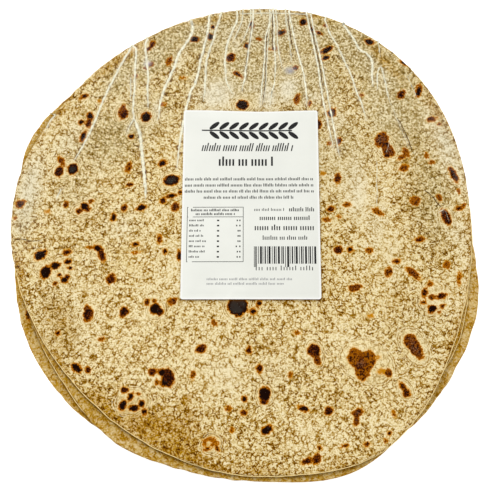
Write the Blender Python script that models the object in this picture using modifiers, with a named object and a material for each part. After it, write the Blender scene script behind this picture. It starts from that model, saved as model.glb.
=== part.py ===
"""A clear-film pack of three stacked multigrain flatbreads, with a plain label on top.

Units are metres, +Z is up. The pack lies flat: the origin is on the surface it lies on, under the
middle of its bounding box. +Y points to the end where the spare film is gathered into pleats, and
+X to the right as seen from above. Outlines, waves, pleats and the label are laid out from the
stack's own middle, in directions given in degrees from +X towards +Y, and then set in place.
"""

import math

import bmesh
import bpy
from mathutils import Matrix

# The stack of breads
BREAD_COUNT = 3
BREAD_THICKNESS = 0.0028
STACK_HEIGHT = BREAD_COUNT * BREAD_THICKNESS
MEAN_REACH = 0.117
STACK_MIDDLE = (-0.0010, 0.0002)
RIM_ROUNDING = 0.0013
GROOVE_DEPTH = 0.0016
TOP_DOME = 0.0005

# The outline of each bread, lowest first: where the rim bulges or draws in from the mean reach, as
# (direction in degrees, spread in degrees, push in metres)
BREAD_OUTLINES = (
    (
        (50, 22, 0.0065),
        (84, 20, 0.0035),
        (209, 14, 0.0045),
        (235, 12, 0.0040),
        (303, 10, 0.0070),
        (323, 14, 0.0095),
        (343, 9, 0.0050),
    ),
    (
        (50, 22, 0.0075),
        (84, 20, 0.0045),
        (156, 10, 0.0055),
        (200, 16, -0.0015),
        (238, 9, 0.0040),
        (262, 14, 0.0045),
        (296, 14, 0.0140),
        (330, 10, 0.0045),
    ),
    (
        (32, 14, 0.0040),
        (55, 16, 0.0075),
        (80, 18, 0.0060),
        (108, 16, 0.0010),
        (165, 8, 0.0020),
        (180, 9, 0.0015),
        (222, 20, -0.0040),
        (273, 12, 0.0035),
        (299, 12, 0.0100),
        (318, 12, 0.0045),
    ),
)

# The turned profile: rings on the two flat faces, and points round each bread's rim
TURN_STEPS = 120
TOP_RINGS = (0.0, 0.16, 0.33, 0.50, 0.66, 0.80, 0.90, 0.96)
BASE_RINGS = (0.96, 0.60, 0.0)
RIM_POINTS = 5
RIM_SWEEP = math.radians(150)

# Long shallow waves of the top face: (wave length, direction in degrees, shift in degrees, height)
TOP_WAVES = (
    (0.165, 20, 40, 0.00022),
    (0.120, 112, 150, 0.00016),
    (0.140, 65, 260, 0.00014),
)

# Pleats of spare film. Each one runs over the top bread from a place on its far rim: the direction
# of that place in degrees, then the middle and the end of the crease as (x, y)
PLEAT_RADIUS = 0.0007
PLEAT_SINK = 0.00022
PLEAT_START = 0.8
PLEAT_TIP = 0.35
PLEAT_STATIONS = 7
PLEATS = (
    (120.6, (-0.0738, 0.0685), (-0.0871, 0.0361)),
    (119.4, (-0.0572, 0.0600), (-0.0493, 0.0157)),
    (116.0, (-0.0503, 0.0848), (-0.0496, 0.0647)),
    (103.6, (-0.0367, 0.0874), (-0.0444, 0.0580)),
    (98.6, (-0.0269, 0.0751), (-0.0337, 0.0309)),
    (95.4, (-0.0183, 0.0950), (-0.0204, 0.0687)),
    (91.5, (-0.0088, 0.0970), (-0.0051, 0.0726)),
    (87.3, (0.0031, 0.0978), (-0.0003, 0.0743)),
    (83.5, (0.0117, 0.0934), (0.0092, 0.0670)),
    (82.0, (0.0173, 0.0935), (0.0142, 0.0670)),
    (80.8, (0.0192, 0.1046), (0.0211, 0.0874)),
    (79.0, (0.0246, 0.1064), (0.0260, 0.0909)),
    (77.4, (0.0305, 0.0920), (0.0337, 0.0670)),
    (74.0, (0.0409, 0.0817), (0.0469, 0.0431)),
    (69.0, (0.0561, 0.0875), (0.0648, 0.0580)),
    (64.5, (0.0659, 0.0969), (0.0691, 0.0772)),
    (55.0, (0.0795, 0.0740), (0.0867, 0.0437)),
)

# The label
LABEL_WIDTH = 0.070
LABEL_LENGTH = 0.100
LABEL_THICKNESS = 0.0003
LABEL_GAP = 0.0003
LABEL_CORNER = 0.0018
LABEL_CORNER_STEPS = 3
LABEL_MIDDLE = (0.0043, 0.0139)
LABEL_CELLS = (10, 14)

# Finishes: linear colour and roughness
FILM_OVER_BREAD = ((0.60, 0.44, 0.25), 0.35)
LABEL_PAPER = ((0.86, 0.86, 0.82), 0.55)

PART_COLLECTION = "film_packed_flatbreads"
PLEAT_COLLECTION = "pleats_to_join"
SMOOTH_ANGLE = math.radians(40)
WELD_DISTANCE = 0.00001


def clear_scene():
    """Remove every object of the start-up scene."""
    for item in list(bpy.data.objects):
        bpy.data.objects.remove(item, do_unlink=True)


def new_collection(name):
    """Add a collection to the scene and return it."""
    collection = bpy.data.collections.new(name)
    bpy.context.scene.collection.children.link(collection)
    return collection


def make_material(name, finish):
    """Make a Principled material from a colour and a roughness."""
    colour, roughness = finish
    material = bpy.data.materials.new(name)
    material.use_nodes = True
    shader = material.node_tree.nodes["Principled BSDF"]
    shader.inputs["Base Color"].default_value = (*colour, 1.0)
    shader.inputs["Roughness"].default_value = roughness
    shader.inputs["Metallic"].default_value = 0.0
    return material


def bread_reach(outline, angle):
    """Distance from the middle of the stack to one bread's rim, in a direction in radians."""
    reach = MEAN_REACH
    for direction, spread, push in outline:
        turn = math.degrees(angle) - direction
        turn = (turn + 180.0) % 360.0 - 180.0
        reach += push * math.exp(-0.5 * (turn / spread) ** 2)
    return reach


def stack_reach(height, angle):
    """Reach of the stack at a height: one bread's, or the smaller of two in the groove between them."""
    level = height / BREAD_THICKNESS
    joint = round(level)
    upper = min(max(joint, 0), BREAD_COUNT - 1)
    lower = min(max(joint - 1, 0), BREAD_COUNT - 1)
    if math.isclose(level, joint, abs_tol=0.001):
        return min(bread_reach(BREAD_OUTLINES[lower], angle), bread_reach(BREAD_OUTLINES[upper], angle))
    return bread_reach(BREAD_OUTLINES[int(level)], angle)


def top_wave(x, y):
    """Height of the long waves of the top face over a point."""
    height = 0.0
    for length, direction, shift, amplitude in TOP_WAVES:
        along = x * math.cos(math.radians(direction)) + y * math.sin(math.radians(direction))
        height += amplitude * math.sin(2 * math.pi * along / length + math.radians(shift))
    return height


def top_height(x, y):
    """Height of the top face over a point: a low dome with long waves."""
    share = math.hypot(x, y) / bread_reach(BREAD_OUTLINES[-1], math.atan2(y, x))
    return STACK_HEIGHT + TOP_DOME * (1 - min(share, 1.0) ** 2) + top_wave(x, y)


def stack_profile():
    """Points (radius, height) of the stack's section, from the top's middle down to the base's."""
    rim_rise = math.sin(RIM_SWEEP / 2)
    points = [(MEAN_REACH * share, STACK_HEIGHT) for share in TOP_RINGS]
    for bread in reversed(range(BREAD_COUNT)):
        middle = (bread + 0.5) * BREAD_THICKNESS
        for step in range(RIM_POINTS):
            swing = RIM_SWEEP * (0.5 - step / (RIM_POINTS - 1))
            inset = RIM_ROUNDING * (1 - math.cos(swing))
            rise = 0.5 * BREAD_THICKNESS * 0.9 * math.sin(swing) / rim_rise
            points.append((MEAN_REACH - inset, middle + rise))
        if bread > 0:
            points.append((MEAN_REACH - GROOVE_DEPTH, bread * BREAD_THICKNESS))
    points += [(MEAN_REACH * share, 0.0) for share in BASE_RINGS]
    return points


def turn_profile(name, points):
    """Turn a section about the vertical axis with a Screw modifier and return the closed mesh."""
    mesh = bpy.data.meshes.new(name)
    mesh.from_pydata([(radius, 0.0, height) for radius, height in points], [], [])
    mesh.edges.add(len(points) - 1)
    for number, edge in enumerate(mesh.edges):
        edge.vertices = (number, number + 1)
    section = bpy.data.objects.new(name, mesh)
    bpy.context.scene.collection.objects.link(section)
    screw = section.modifiers.new("turn", "SCREW")
    screw.steps = TURN_STEPS
    screw.render_steps = TURN_STEPS
    screw.use_merge_vertices = True
    screw.merge_threshold = WELD_DISTANCE
    bpy.context.view_layer.update()
    seen = section.evaluated_get(bpy.context.evaluated_depsgraph_get())
    turned = bpy.data.meshes.new_from_object(seen)
    bpy.data.objects.remove(section, do_unlink=True)
    return turned


def shape_stack(mesh):
    """Move the turned rings out to the breads' own outlines, and bend the upper layers into waves."""
    for vertex in mesh.vertices:
        x, y, z = vertex.co
        angle = math.atan2(y, x)
        scale = stack_reach(z, angle) / MEAN_REACH
        x, y = x * scale, y * scale
        lift = z / STACK_HEIGHT
        vertex.co = (x, y, z + (top_height(x, y) - STACK_HEIGHT) * lift)


def pleat_route(direction, middle, end):
    """Points of one pleat: up the rim of the top bread, then along a smooth bend to its end."""
    angle = math.radians(direction)
    reach = bread_reach(BREAD_OUTLINES[-1], angle)
    rim_height = STACK_HEIGHT - 0.5 * BREAD_THICKNESS
    route = [(0.998 * reach * math.cos(angle), 0.998 * reach * math.sin(angle), rim_height)]
    shoulder = reach - 1.2 * RIM_ROUNDING
    start = (shoulder * math.cos(angle), shoulder * math.sin(angle))
    bend = [2 * m - 0.5 * (s + e) for s, m, e in zip(start, middle, end)]
    for step in range(PLEAT_STATIONS):
        t = step / (PLEAT_STATIONS - 1)
        weights = ((1 - t) ** 2, 2 * t * (1 - t), t**2)
        x, y = (sum(w * p for w, p in zip(weights, trio)) for trio in zip(start, bend, end))
        route.append((x, y, top_height(x, y) - PLEAT_SINK))
    return route


def make_pleat(name, route, collection):
    """Make one tapering pleat as a closed tube along its route."""
    curve = bpy.data.curves.new(name, "CURVE")
    curve.dimensions = "3D"
    curve.bevel_depth = PLEAT_RADIUS
    curve.bevel_resolution = 1
    curve.use_fill_caps = True
    spline = curve.splines.new("POLY")
    spline.points.add(len(route) - 1)
    for number, (point, place) in enumerate(zip(spline.points, route)):
        share = number / (len(route) - 1)
        point.co = (*place, 1.0)
        point.radius = PLEAT_START + (1 - PLEAT_START) * math.sin(math.pi * share)
        point.radius *= 1 - (1 - PLEAT_TIP) * share**3
    tube = bpy.data.objects.new(name, curve)
    collection.objects.link(tube)
    bpy.context.view_layer.update()
    seen = tube.evaluated_get(bpy.context.evaluated_depsgraph_get())
    mesh = bpy.data.meshes.new_from_object(seen)
    bpy.data.objects.remove(tube, do_unlink=True)
    welded = bmesh.new()
    welded.from_mesh(mesh)
    bmesh.ops.remove_doubles(welded, verts=welded.verts, dist=WELD_DISTANCE)
    bmesh.ops.recalc_face_normals(welded, faces=welded.faces)
    welded.to_mesh(mesh)
    welded.free()
    collection.objects.link(bpy.data.objects.new(name, mesh))


def join_collection(body, collection):
    """Join every object of a collection to a body with one Boolean, then remove them."""
    union = body.modifiers.new("join", "BOOLEAN")
    union.operation = "UNION"
    union.solver = "EXACT"
    union.operand_type = "COLLECTION"
    union.collection = collection
    bpy.context.view_layer.objects.active = body
    bpy.ops.object.modifier_apply(modifier=union.name)
    for item in list(collection.objects):
        bpy.data.objects.remove(item, do_unlink=True)
    bpy.data.collections.remove(collection)


def finish_shading(mesh):
    """Shade a mesh smooth, with sharp edges where faces meet at a steep angle."""
    mesh.shade_smooth()
    mesh.set_sharp_from_angle(angle=SMOOTH_ANGLE)


def set_in_place(mesh):
    """Move a piece from the stack's own middle to its place over the origin."""
    x, y = STACK_MIDDLE
    mesh.transform(Matrix.Translation((x, y, 0.0)))


def build_pack(collection):
    """Make the closed film pack: the stack of breads with the pleats of film drawn over it."""
    mesh = turn_profile("pack", stack_profile())
    shape_stack(mesh)
    pack = bpy.data.objects.new("pack", mesh)
    collection.objects.link(pack)
    pack.data.materials.append(make_material("film_over_bread", FILM_OVER_BREAD))
    pleats = new_collection(PLEAT_COLLECTION)
    for number, (direction, middle, end) in enumerate(PLEATS):
        make_pleat(f"pleat_{number:02d}", pleat_route(direction, middle, end), pleats)
    join_collection(pack, pleats)
    set_in_place(pack.data)
    finish_shading(pack.data)


def build_label(collection):
    """Make the label: a thin rounded sheet that follows the top face just above it."""
    mesh = bpy.data.meshes.new("label")
    sheet = bmesh.new()
    columns, rows = LABEL_CELLS
    bmesh.ops.create_grid(sheet, x_segments=columns, y_segments=rows, size=0.5)
    corners = [vertex for vertex in sheet.verts if len(vertex.link_faces) == 1]
    bmesh.ops.scale(sheet, vec=(LABEL_WIDTH, LABEL_LENGTH, 1.0), verts=sheet.verts)
    bmesh.ops.bevel(
        sheet,
        geom=corners,
        offset=LABEL_CORNER,
        segments=LABEL_CORNER_STEPS,
        profile=0.5,
        affect="VERTICES",
        material=-1,
    )
    bmesh.ops.translate(sheet, vec=(*LABEL_MIDDLE, 0.0), verts=sheet.verts)
    for vertex in sheet.verts:
        vertex.co.z = top_height(vertex.co.x, vertex.co.y) + LABEL_GAP
    sheet.to_mesh(mesh)
    sheet.free()
    set_in_place(mesh)
    label = bpy.data.objects.new("label", mesh)
    collection.objects.link(label)
    label.data.materials.append(make_material("label_paper", LABEL_PAPER))
    thickness = label.modifiers.new("thickness", "SOLIDIFY")
    thickness.thickness = LABEL_THICKNESS
    thickness.offset = 1.0
    finish_shading(label.data)


def main():
    """Build the pack and its label."""
    clear_scene()
    parts = new_collection(PART_COLLECTION)
    build_pack(parts)
    build_label(parts)


main()
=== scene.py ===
"""The looks of a film-packed stack of three multigrain flatbreads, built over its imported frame.

Units are metres. The stack lies flat on the floor with its label facing up. The breads, the film
and its creases stand for the frame's pack, and a paper sheet with its print for the frame's label.
"""

import logging
import math
from collections.abc import Iterator
from dataclasses import dataclass
from enum import Enum

import bmesh
import bpy
import numpy as np
from mathutils import Matrix, Vector


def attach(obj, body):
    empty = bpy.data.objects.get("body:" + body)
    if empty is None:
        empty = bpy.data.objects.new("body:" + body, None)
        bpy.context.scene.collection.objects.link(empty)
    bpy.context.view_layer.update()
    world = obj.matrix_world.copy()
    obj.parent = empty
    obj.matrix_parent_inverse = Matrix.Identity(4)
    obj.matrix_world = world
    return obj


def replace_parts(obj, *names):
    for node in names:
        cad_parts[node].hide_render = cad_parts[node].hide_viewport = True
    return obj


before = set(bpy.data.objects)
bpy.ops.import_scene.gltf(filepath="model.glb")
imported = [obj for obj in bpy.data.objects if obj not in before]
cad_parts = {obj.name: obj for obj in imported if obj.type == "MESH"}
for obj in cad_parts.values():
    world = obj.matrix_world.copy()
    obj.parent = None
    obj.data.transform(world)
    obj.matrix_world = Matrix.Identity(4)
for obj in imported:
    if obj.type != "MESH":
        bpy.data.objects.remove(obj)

Array = np.ndarray
Socket = bpy.types.NodeSocket

LOG = logging.getLogger("flatbread_pack")
MM = 0.001
BODY = "root"
BREAD_NAMES = ("bread_lowest", "bread_middle", "bread_top")
BRIGHTNESS = 1.07

DEPTH = "char_depth"
HEAT = "char_heat"
BLISTER = "blister_depth"
TOAST = "toast"
GRAIN = "grain"
SMOOTH = "smooth"
PALE = "pale"
# Painted shade on the breads: under the rim above, on the rims' side walls and beside the label
SHADE = "crevice_shade"
# Grey patches of the film, partly its own haze and partly painted reflection
HAZE_AND_REFLECTION = "haze_and_reflection"
MILK = "milk"
EDGE_HIGHLIGHT = "edge"
STRENGTH = "strength"
# Ridge colour: 0 the crease white, 0.5 the painted rim highlight, 1 the painted fold shade
TINT = "tint"


class Heat(Enum):
    """How far a mark on the bread has burnt, from a light toast to black."""

    FAINT = 0.15
    BROWN = 0.42
    ASHY = 0.60
    DARK = 0.79
    SOOTY = 0.90
    BLACK = 1.0


class Ink(Enum):
    """The two strengths of print on the label."""

    BLACK = 22
    GREY = 150


F, B, A, D, S, K = Heat.FAINT, Heat.BROWN, Heat.ASHY, Heat.DARK, Heat.SOOTY, Heat.BLACK

# Char marks of the top bread: (photo column, photo row, length mm, width mm, turn, heat)
TOP_MARKS = (
    (152.2, 44.6, 3.4, 2.4, 70, D), (149.4, 48.6, 3.2, 2.0, 40, D), (169, 61.4, 4.5, 2.6, 80, B),
    (194.5, 39.5, 4.2, 3.0, 0, K), (210.5, 37, 3.4, 3.0, 90, K), (213, 27.6, 1.9, 1.5, 0, K),
    (231, 57.7, 4.6, 4.0, 70, D), (247, 46, 3.0, 2.4, 90, K), (237.6, 75, 4.0, 1.7, -40, K),
    (242.3, 105.5, 5.9, 5.1, 0, K), (184, 78, 2.4, 1.2, 0, B), (163.4, 104.4, 2.4, 1.6, 0, B),
    (135.5, 76, 2.0, 1.4, 0, D), (151.2, 64.6, 2.4, 2.2, 20, B), (147, 68, 1.8, 1.2, 0, D),
    (122, 111.6, 7.0, 3.2, 80, A), (123.5, 114, 5.0, 4.4, 60, D), (146, 117, 5.2, 4.8, 40, K),
    (131, 136.6, 2.6, 2.6, 0, K), (90, 116, 4.0, 3.2, 90, K), (88.6, 122.5, 5.6, 2.6, 75, D),
    (81, 122, 2.6, 2.2, 0, K), (83, 136, 4.8, 2.6, 75, K), (83.7, 96.5, 3.4, 1.9, 25, K),
    (99.6, 101, 2.2, 1.8, 0, F), (61.2, 160.5, 4.6, 2.4, 122, A), (59.3, 171.5, 5.4, 3.8, 75, D),
    (72.5, 169, 5.6, 5.0, 60, S), (20, 204, 4.6, 3.8, 20, D), (14.8, 218, 1.6, 1.4, 0, B),
    (162.6, 163, 3.8, 2.8, 20, K), (128.3, 167.4, 5.2, 2.8, 70, B), (129.5, 184.6, 2.6, 1.8, 0, D),
    (171.4, 180.5, 7.8, 5.4, 15, S), (171.4, 195.8, 4.8, 2.3, 10, K), (162.6, 200.6, 3.0, 2.4, 60, D),
    (175.4, 207, 4.6, 3.8, 60, A), (180, 192, 2.0, 1.8, 0, K), (66, 204, 2.6, 2.0, 70, D),
    (84, 206, 3.8, 3.2, 30, K), (79.7, 211, 3.0, 2.6, 0, D), (87.4, 209, 2.6, 2.0, 0, D),
    (91, 201, 2.2, 1.6, 40, D), (47.8, 211.7, 2.2, 1.8, 0, F), (113.5, 217, 3.6, 2.4, 80, K),
    (124, 208, 3.0, 2.4, 60, D), (141, 207.6, 4.2, 3.0, 20, K), (159.4, 239.5, 3.8, 2.2, 100, A),
    (135.5, 244, 3.0, 2.0, 10, K), (135.5, 252.5, 3.2, 1.2, 0, B), (92, 247.6, 3.4, 1.4, -10, B),
    (97.8, 248.2, 4.0, 3.2, 145, K), (101.8, 254.5, 6.2, 3.2, 108, D), (165, 251, 2.6, 2.0, 80, K),
    (251.6, 24.7, 3.2, 2.0, 90, K), (303.4, 22.3, 3.6, 3.4, 0, K), (312, 29, 2.2, 1.9, 0, K),
    (318.6, 32.7, 3.0, 1.4, -20, D), (281.4, 33, 3.8, 2.7, 20, K), (325, 25.5, 2.2, 1.4, 0, B),
    (369.6, 41.5, 4.8, 2.8, -10, K), (326.5, 50, 6.4, 2.6, 30, K), (325.7, 57.7, 3.6, 2.2, 20, K),
    (403.5, 62, 3.4, 1.9, -35, K), (295.5, 68.5, 2.8, 2.4, 30, A), (269.6, 49.6, 1.8, 1.6, 0, F),
    (274.4, 48.6, 2.2, 1.8, 0, K), (259.4, 39.6, 2.8, 1.6, -15, B), (418.7, 90.4, 6.0, 2.8, 75, K),
    (401.5, 94, 5.2, 3.0, 60, D), (297.4, 99, 4.4, 2.4, 70, A), (310, 104, 2.4, 1.5, 90, D),
    (332, 112.4, 4.8, 3.8, 60, D), (361.6, 95, 1.6, 1.2, 0, D), (318.6, 124.4, 4.6, 2.8, 90, D),
    (431.4, 119, 4.6, 2.4, 15, D), (439, 124, 1.2, 1.0, 0, D), (381.5, 139.5, 8.2, 6.2, 60, A),
    (378.5, 139, 3.6, 3.0, 30, D), (388, 150.5, 7.4, 5.4, 120, A), (385, 145, 6.0, 4.0, 125, D),
    (388, 155, 3.4, 2.8, 0, D), (406, 152.5, 5.2, 2.7, 110, B), (401.5, 157, 4.2, 2.2, 25, B),
    (404, 168, 4.8, 3.3, 15, B), (339, 141, 3.2, 2.0, 80, D), (329, 143.5, 1.6, 1.4, 0, B),
    (426.7, 155.5, 2.6, 2.0, 90, B), (432, 162, 2.6, 2.0, 30, B), (453.4, 174.6, 7.6, 3.4, 112, D),
    (337.4, 178.6, 5.2, 2.8, 80, D), (323, 173.5, 2.0, 1.8, 0, F), (415, 201, 5.2, 4.4, 20, B),
    (439.3, 197.7, 3.8, 2.2, 110, B), (459, 191, 2.0, 1.4, 90, B), (446, 217, 7.8, 4.3, 108, D),
    (458.5, 208.6, 3.2, 1.8, 10, D), (463, 206.4, 3.0, 1.8, 50, B), (377.6, 212, 5.8, 2.6, -30, B),
    (330.5, 209, 3.2, 2.8, 0, D), (347.3, 205, 3.6, 2.4, 0, B), (327.3, 220, 3.2, 2.0, 0, B),
    (339, 217, 1.6, 1.4, 0, B), (419.3, 239.5, 4.2, 2.4, 10, D), (338, 250, 4.4, 3.6, 10, D),
    (350, 250, 2.6, 2.4, 0, K), (369, 250.5, 3.2, 2.8, 0, B), (40.3, 255, 6.4, 4.4, 32, K),
    (55.8, 265.6, 4.8, 3.2, 18, K), (45.8, 272.3, 6.0, 4.8, 72, K), (67.3, 252.4, 3.6, 2.4, 10, D),
    (67.8, 262, 2.9, 2.3, 0, K), (70, 268, 2.2, 1.6, 0, K), (59.8, 275, 1.9, 1.7, 0, K),
    (64.6, 280, 3.2, 2.8, 0, K), (67, 277, 2.0, 1.8, 0, D), (55, 283.5, 1.4, 1.2, 0, D),
    (179.4, 256, 4.2, 2.3, 90, K), (111, 279, 4.8, 3.8, 60, D), (88.5, 314.5, 6.4, 4.3, 80, D),
    (87.2, 308.5, 3.2, 2.4, 100, A), (124, 312, 4.6, 3.8, 60, D), (155, 309, 5.2, 4.6, 90, K),
    (159.4, 311, 3.6, 4.4, 20, D), (147, 302, 2.8, 1.8, 80, D), (154, 300.7, 1.8, 1.6, 0, B),
    (172.7, 301, 4.2, 2.8, 15, A), (237.6, 305.6, 9.8, 9.4, 80, S), (231.4, 309, 2.8, 2.4, 30, K),
    (244.8, 309, 3.0, 2.4, 120, K), (238.5, 314, 3.6, 2.2, 0, K), (214, 323, 2.8, 2.4, 0, B),
    (201, 349, 4.8, 3.4, 25, D), (203, 347, 2.6, 3.2, 90, A), (58, 333, 2.2, 2.0, 0, D),
    (101, 339, 2.6, 1.6, 10, B), (75.5, 367, 3.6, 3.8, 60, K), (78.5, 369.8, 3.4, 2.6, 10, K),
    (88, 369.6, 2.6, 2.6, 0, D), (168, 377.6, 8.4, 6.0, 100, D), (162, 372.5, 3.8, 3.4, 0, K),
    (165, 382.5, 4.4, 3.6, 10, K), (152, 372, 3.8, 3.0, 20, D), (156.8, 382.5, 1.8, 2.4, 0, B),
    (124.4, 390, 3.2, 2.6, -20, D), (130.4, 396.7, 3.6, 2.2, 60, K), (122.5, 405.5, 4.4, 3.2, 70, K),
    (134, 408, 4.4, 2.8, 0, K), (141.6, 403.5, 3.0, 2.4, 30, K), (144.3, 412, 2.6, 2.1, 80, K),
    (138, 394, 1.2, 1.0, 0, D), (244.7, 399, 2.6, 2.6, 0, K), (228, 408.6, 2.6, 2.0, 0, B),
    (243.5, 412.6, 2.6, 2.0, 0, D), (204.8, 443.2, 2.4, 1.5, 80, B), (210, 439.4, 4.2, 1.3, 0, B),
    (216, 442, 2.2, 1.2, 130, D), (217, 447.6, 2.6, 1.4, 105, D), (207.4, 449, 2.4, 1.2, 10, D),
    (212, 445, 1.6, 1.0, 0, B), (232, 430, 2.0, 1.6, 90, B), (193, 375, 2.6, 1.6, 80, D),
    (249, 350, 3.0, 2.2, 80, D), (396.4, 261, 3.2, 2.2, 0, D), (413, 273, 7.4, 3.2, -42, A),
    (388.4, 272, 4.6, 3.4, 70, B), (354.8, 288, 5.8, 3.2, 10, A), (447, 264.7, 3.8, 3.2, 60, B),
    (459.7, 278, 5.0, 1.6, 80, B), (430, 284, 3.2, 2.4, 60, B), (424.6, 293, 4.6, 2.4, 80, D),
    (432, 297, 3.2, 3.0, 0, B), (441.8, 296, 5.0, 2.6, 20, D), (423.8, 302.6, 2.2, 1.6, 0, D),
    (431.8, 308.7, 4.2, 3.6, 40, K), (442.6, 306, 2.4, 1.6, 20, D), (439, 312, 1.4, 1.2, 0, B),
    (371.0, 316, 2.4, 1.8, 0, F), (259, 303.7, 3.2, 1.8, 80, K), (253, 311.4, 3.0, 2.6, 0, K),
    (296.6, 333, 2.6, 1.8, 0, B), (313.8, 350.5, 6.0, 6.0, 0, D), (316.8, 359, 5.4, 3.0, 110, A),
    (354.8, 357, 8.6, 7.0, 80, B), (367.5, 360, 9.4, 7.8, 80, B), (362.3, 370, 9.6, 7.0, 90, B),
    (361.5, 364.5, 11.0, 7.2, 95, A), (362.6, 378, 2.4, 1.8, 90, K), (378, 357.5, 2.2, 1.6, 0, F),
    (382, 371.5, 3.8, 2.4, 0, F), (388.2, 373.2, 3.6, 3.0, 100, A), (410.3, 341, 6.8, 6.2, 120, A),
    (414.5, 347.5, 9.0, 5.6, 122, A), (418, 353, 6.0, 3.8, 125, A), (403, 387.5, 4.4, 2.2, 122, D),
    (406.3, 393, 3.8, 3.4, 0, D), (259.6, 369, 3.6, 2.8, 80, D), (290, 375, 2.6, 1.8, 80, B),
    (264.7, 394, 6.4, 5.2, 80, K), (264, 401, 3.0, 2.6, 0, D), (304, 409, 4.4, 2.4, -20, K),
    (328.6, 411, 4.0, 3.8, 0, D), (357.6, 413, 5.0, 3.6, 20, A), (356.3, 420.5, 4.4, 2.4, 80, A),
    (394, 414, 3.0, 1.6, 110, B), (389.5, 433, 1.6, 1.4, 0, K), (385.5, 440.5, 1.4, 1.2, 0, D),
    (367, 444.5, 2.3, 1.8, 10, D), (345, 446, 2.6, 1.4, 10, D), (266.7, 430, 5.2, 3.6, 40, K),
    (268, 427.5, 2.6, 2.6, 0, D), (319.4, 448, 2.0, 1.8, 0, K), (317, 459, 4.6, 3.6, 60, D),
    (307.5, 461, 4.4, 2.4, 20, D),
)

# Char marks that show on the rim of the lowest bread, in the same terms
LOWEST_MARKS = (
    (28, 315, 4.2, 2.0, 100, K), (95.7, 410, 1.4, 1.0, 0, K),
)

# Raised blisters of the top bread: (photo column, photo row, length mm, width mm, turn, height mm)
BLISTERS = (
    (367, 362, 27.0, 20.5, -25, 0.42), (414.5, 346.5, 20.0, 12.5, 118, 0.40),
    (237.6, 303, 17.0, 13.0, 80, 0.20), (166, 378, 12.0, 10.0, 100, 0.30),
    (88.5, 313, 10.5, 8.0, 80, 0.30), (123, 114, 10.0, 8.0, 80, 0.30), (386, 146, 14.0, 9.5, 118, 0.30),
    (171.4, 180.5, 11.0, 8.6, 15, 0.26), (264.7, 395.6, 9.6, 8.2, 80, 0.30),
    (315, 354, 11.5, 8.2, 100, 0.30), (43, 264, 14.0, 10.0, 120, 0.28), (156, 310, 9.0, 8.0, 20, 0.28),
    (99, 251, 10.5, 7.6, 70, 0.26), (446, 217, 10.0, 6.6, 105, 0.28), (405, 390, 9.6, 6.2, 120, 0.28),
    (212, 444, 9.6, 8.4, 30, 0.32), (65, 168, 15.0, 10.0, 20, 0.26), (83, 209, 12.0, 7.0, 20, 0.24),
    (433, 298, 17.0, 13.0, 70, 0.30), (132, 402, 16.0, 12.0, 10, 0.30),
    (242.3, 105.5, 9.4, 8.0, 0, 0.26), (290.7, 70, 9.6, 7.0, 10, 0.26), (60, 270, 13.0, 9.0, 60, 0.24),
    (146, 117, 8.0, 7.4, 40, 0.24),
)

# Toasted areas of the top bread: (photo column, photo row, length mm, width mm, turn, strength)
TOAST_PATCHES = (
    (162, 432, 68.0, 26.0, -24, 0.60), (190, 424, 20.0, 14.0, -60, 0.50),
    (103, 410, 32.0, 13.0, -42, 0.68), (172, 448, 36.0, 12.0, -24, 0.76),
    (184, 404, 12.0, 8.0, 60, 0.55), (216, 470, 26.0, 7.0, -12, 0.62), (250, 470, 44.0, 7.0, -4, 0.44),
    (60, 325, 46.0, 18.0, -70, 0.42), (62, 366, 22.0, 7.0, -55, 0.50), (72, 215, 70.0, 22.0, 80, 0.14),
    (412, 172, 84.0, 22.0, 88, 0.26), (330, 468, 44.0, 5.0, 12, 0.34), (454, 345, 40.0, 10.0, 72, 0.46),
    (120, 60, 50.0, 6.0, 38, 0.50), (62, 108, 24.0, 6.0, 55, 0.50), (310, 16, 40.0, 5.0, -8, 0.50),
    (210, 20, 30.0, 5.0, 8, 0.50), (385, 60, 44.0, 8.0, -50, 0.50), (440, 120, 40.0, 8.0, -65, 0.45),
    (470, 230, 30.0, 6.0, -85, 0.34), (20, 270, 26.0, 6.0, -78, 0.50), (215, 306, 34.0, 9.0, 0, 0.20),
    (400, 300, 30.0, 18.0, 40, 0.25),
)

# Dark, grainy areas of the top bread: (photo column, photo row, length mm, width mm, turn, strength)
GRAIN_PATCHES = (
    (255, 32, 110.0, 26.0, 0, 1.05), (150, 60, 60.0, 18.0, 38, 0.85), (365, 55, 70.0, 24.0, -42, 0.95),
    (270, 75, 90.0, 40.0, 0, 0.70), (395, 110, 60.0, 34.0, -60, 0.70),
    (430, 190, 70.0, 26.0, -85, 0.50), (120, 130, 70.0, 34.0, 40, 0.52),
    (75, 185, 50.0, 26.0, 80, 0.34), (340, 150, 40.0, 60.0, 0, 0.40), (85, 250, 50.0, 34.0, 60, 0.14),
    (60, 320, 46.0, 22.0, -70, 0.30), (420, 320, 40.0, 30.0, 60, 0.20),
)

# Smooth areas of the top bread, with fewer cracks, in the same terms
SMOOTH_PATCHES = (
    (388, 250, 32.0, 14.0, 90, 0.50), (360, 190, 40.0, 11.0, 90, 0.42), (386, 300, 18.0, 12.0, 0, 0.42),
    (226, 374, 26.0, 22.0, 60, 0.35), (130, 266, 15.0, 12.0, 0, 0.40), (130, 205, 12.0, 10.0, 0, 0.25),
    (352, 168, 14.0, 12.0, 0, 0.30),
)

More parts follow.
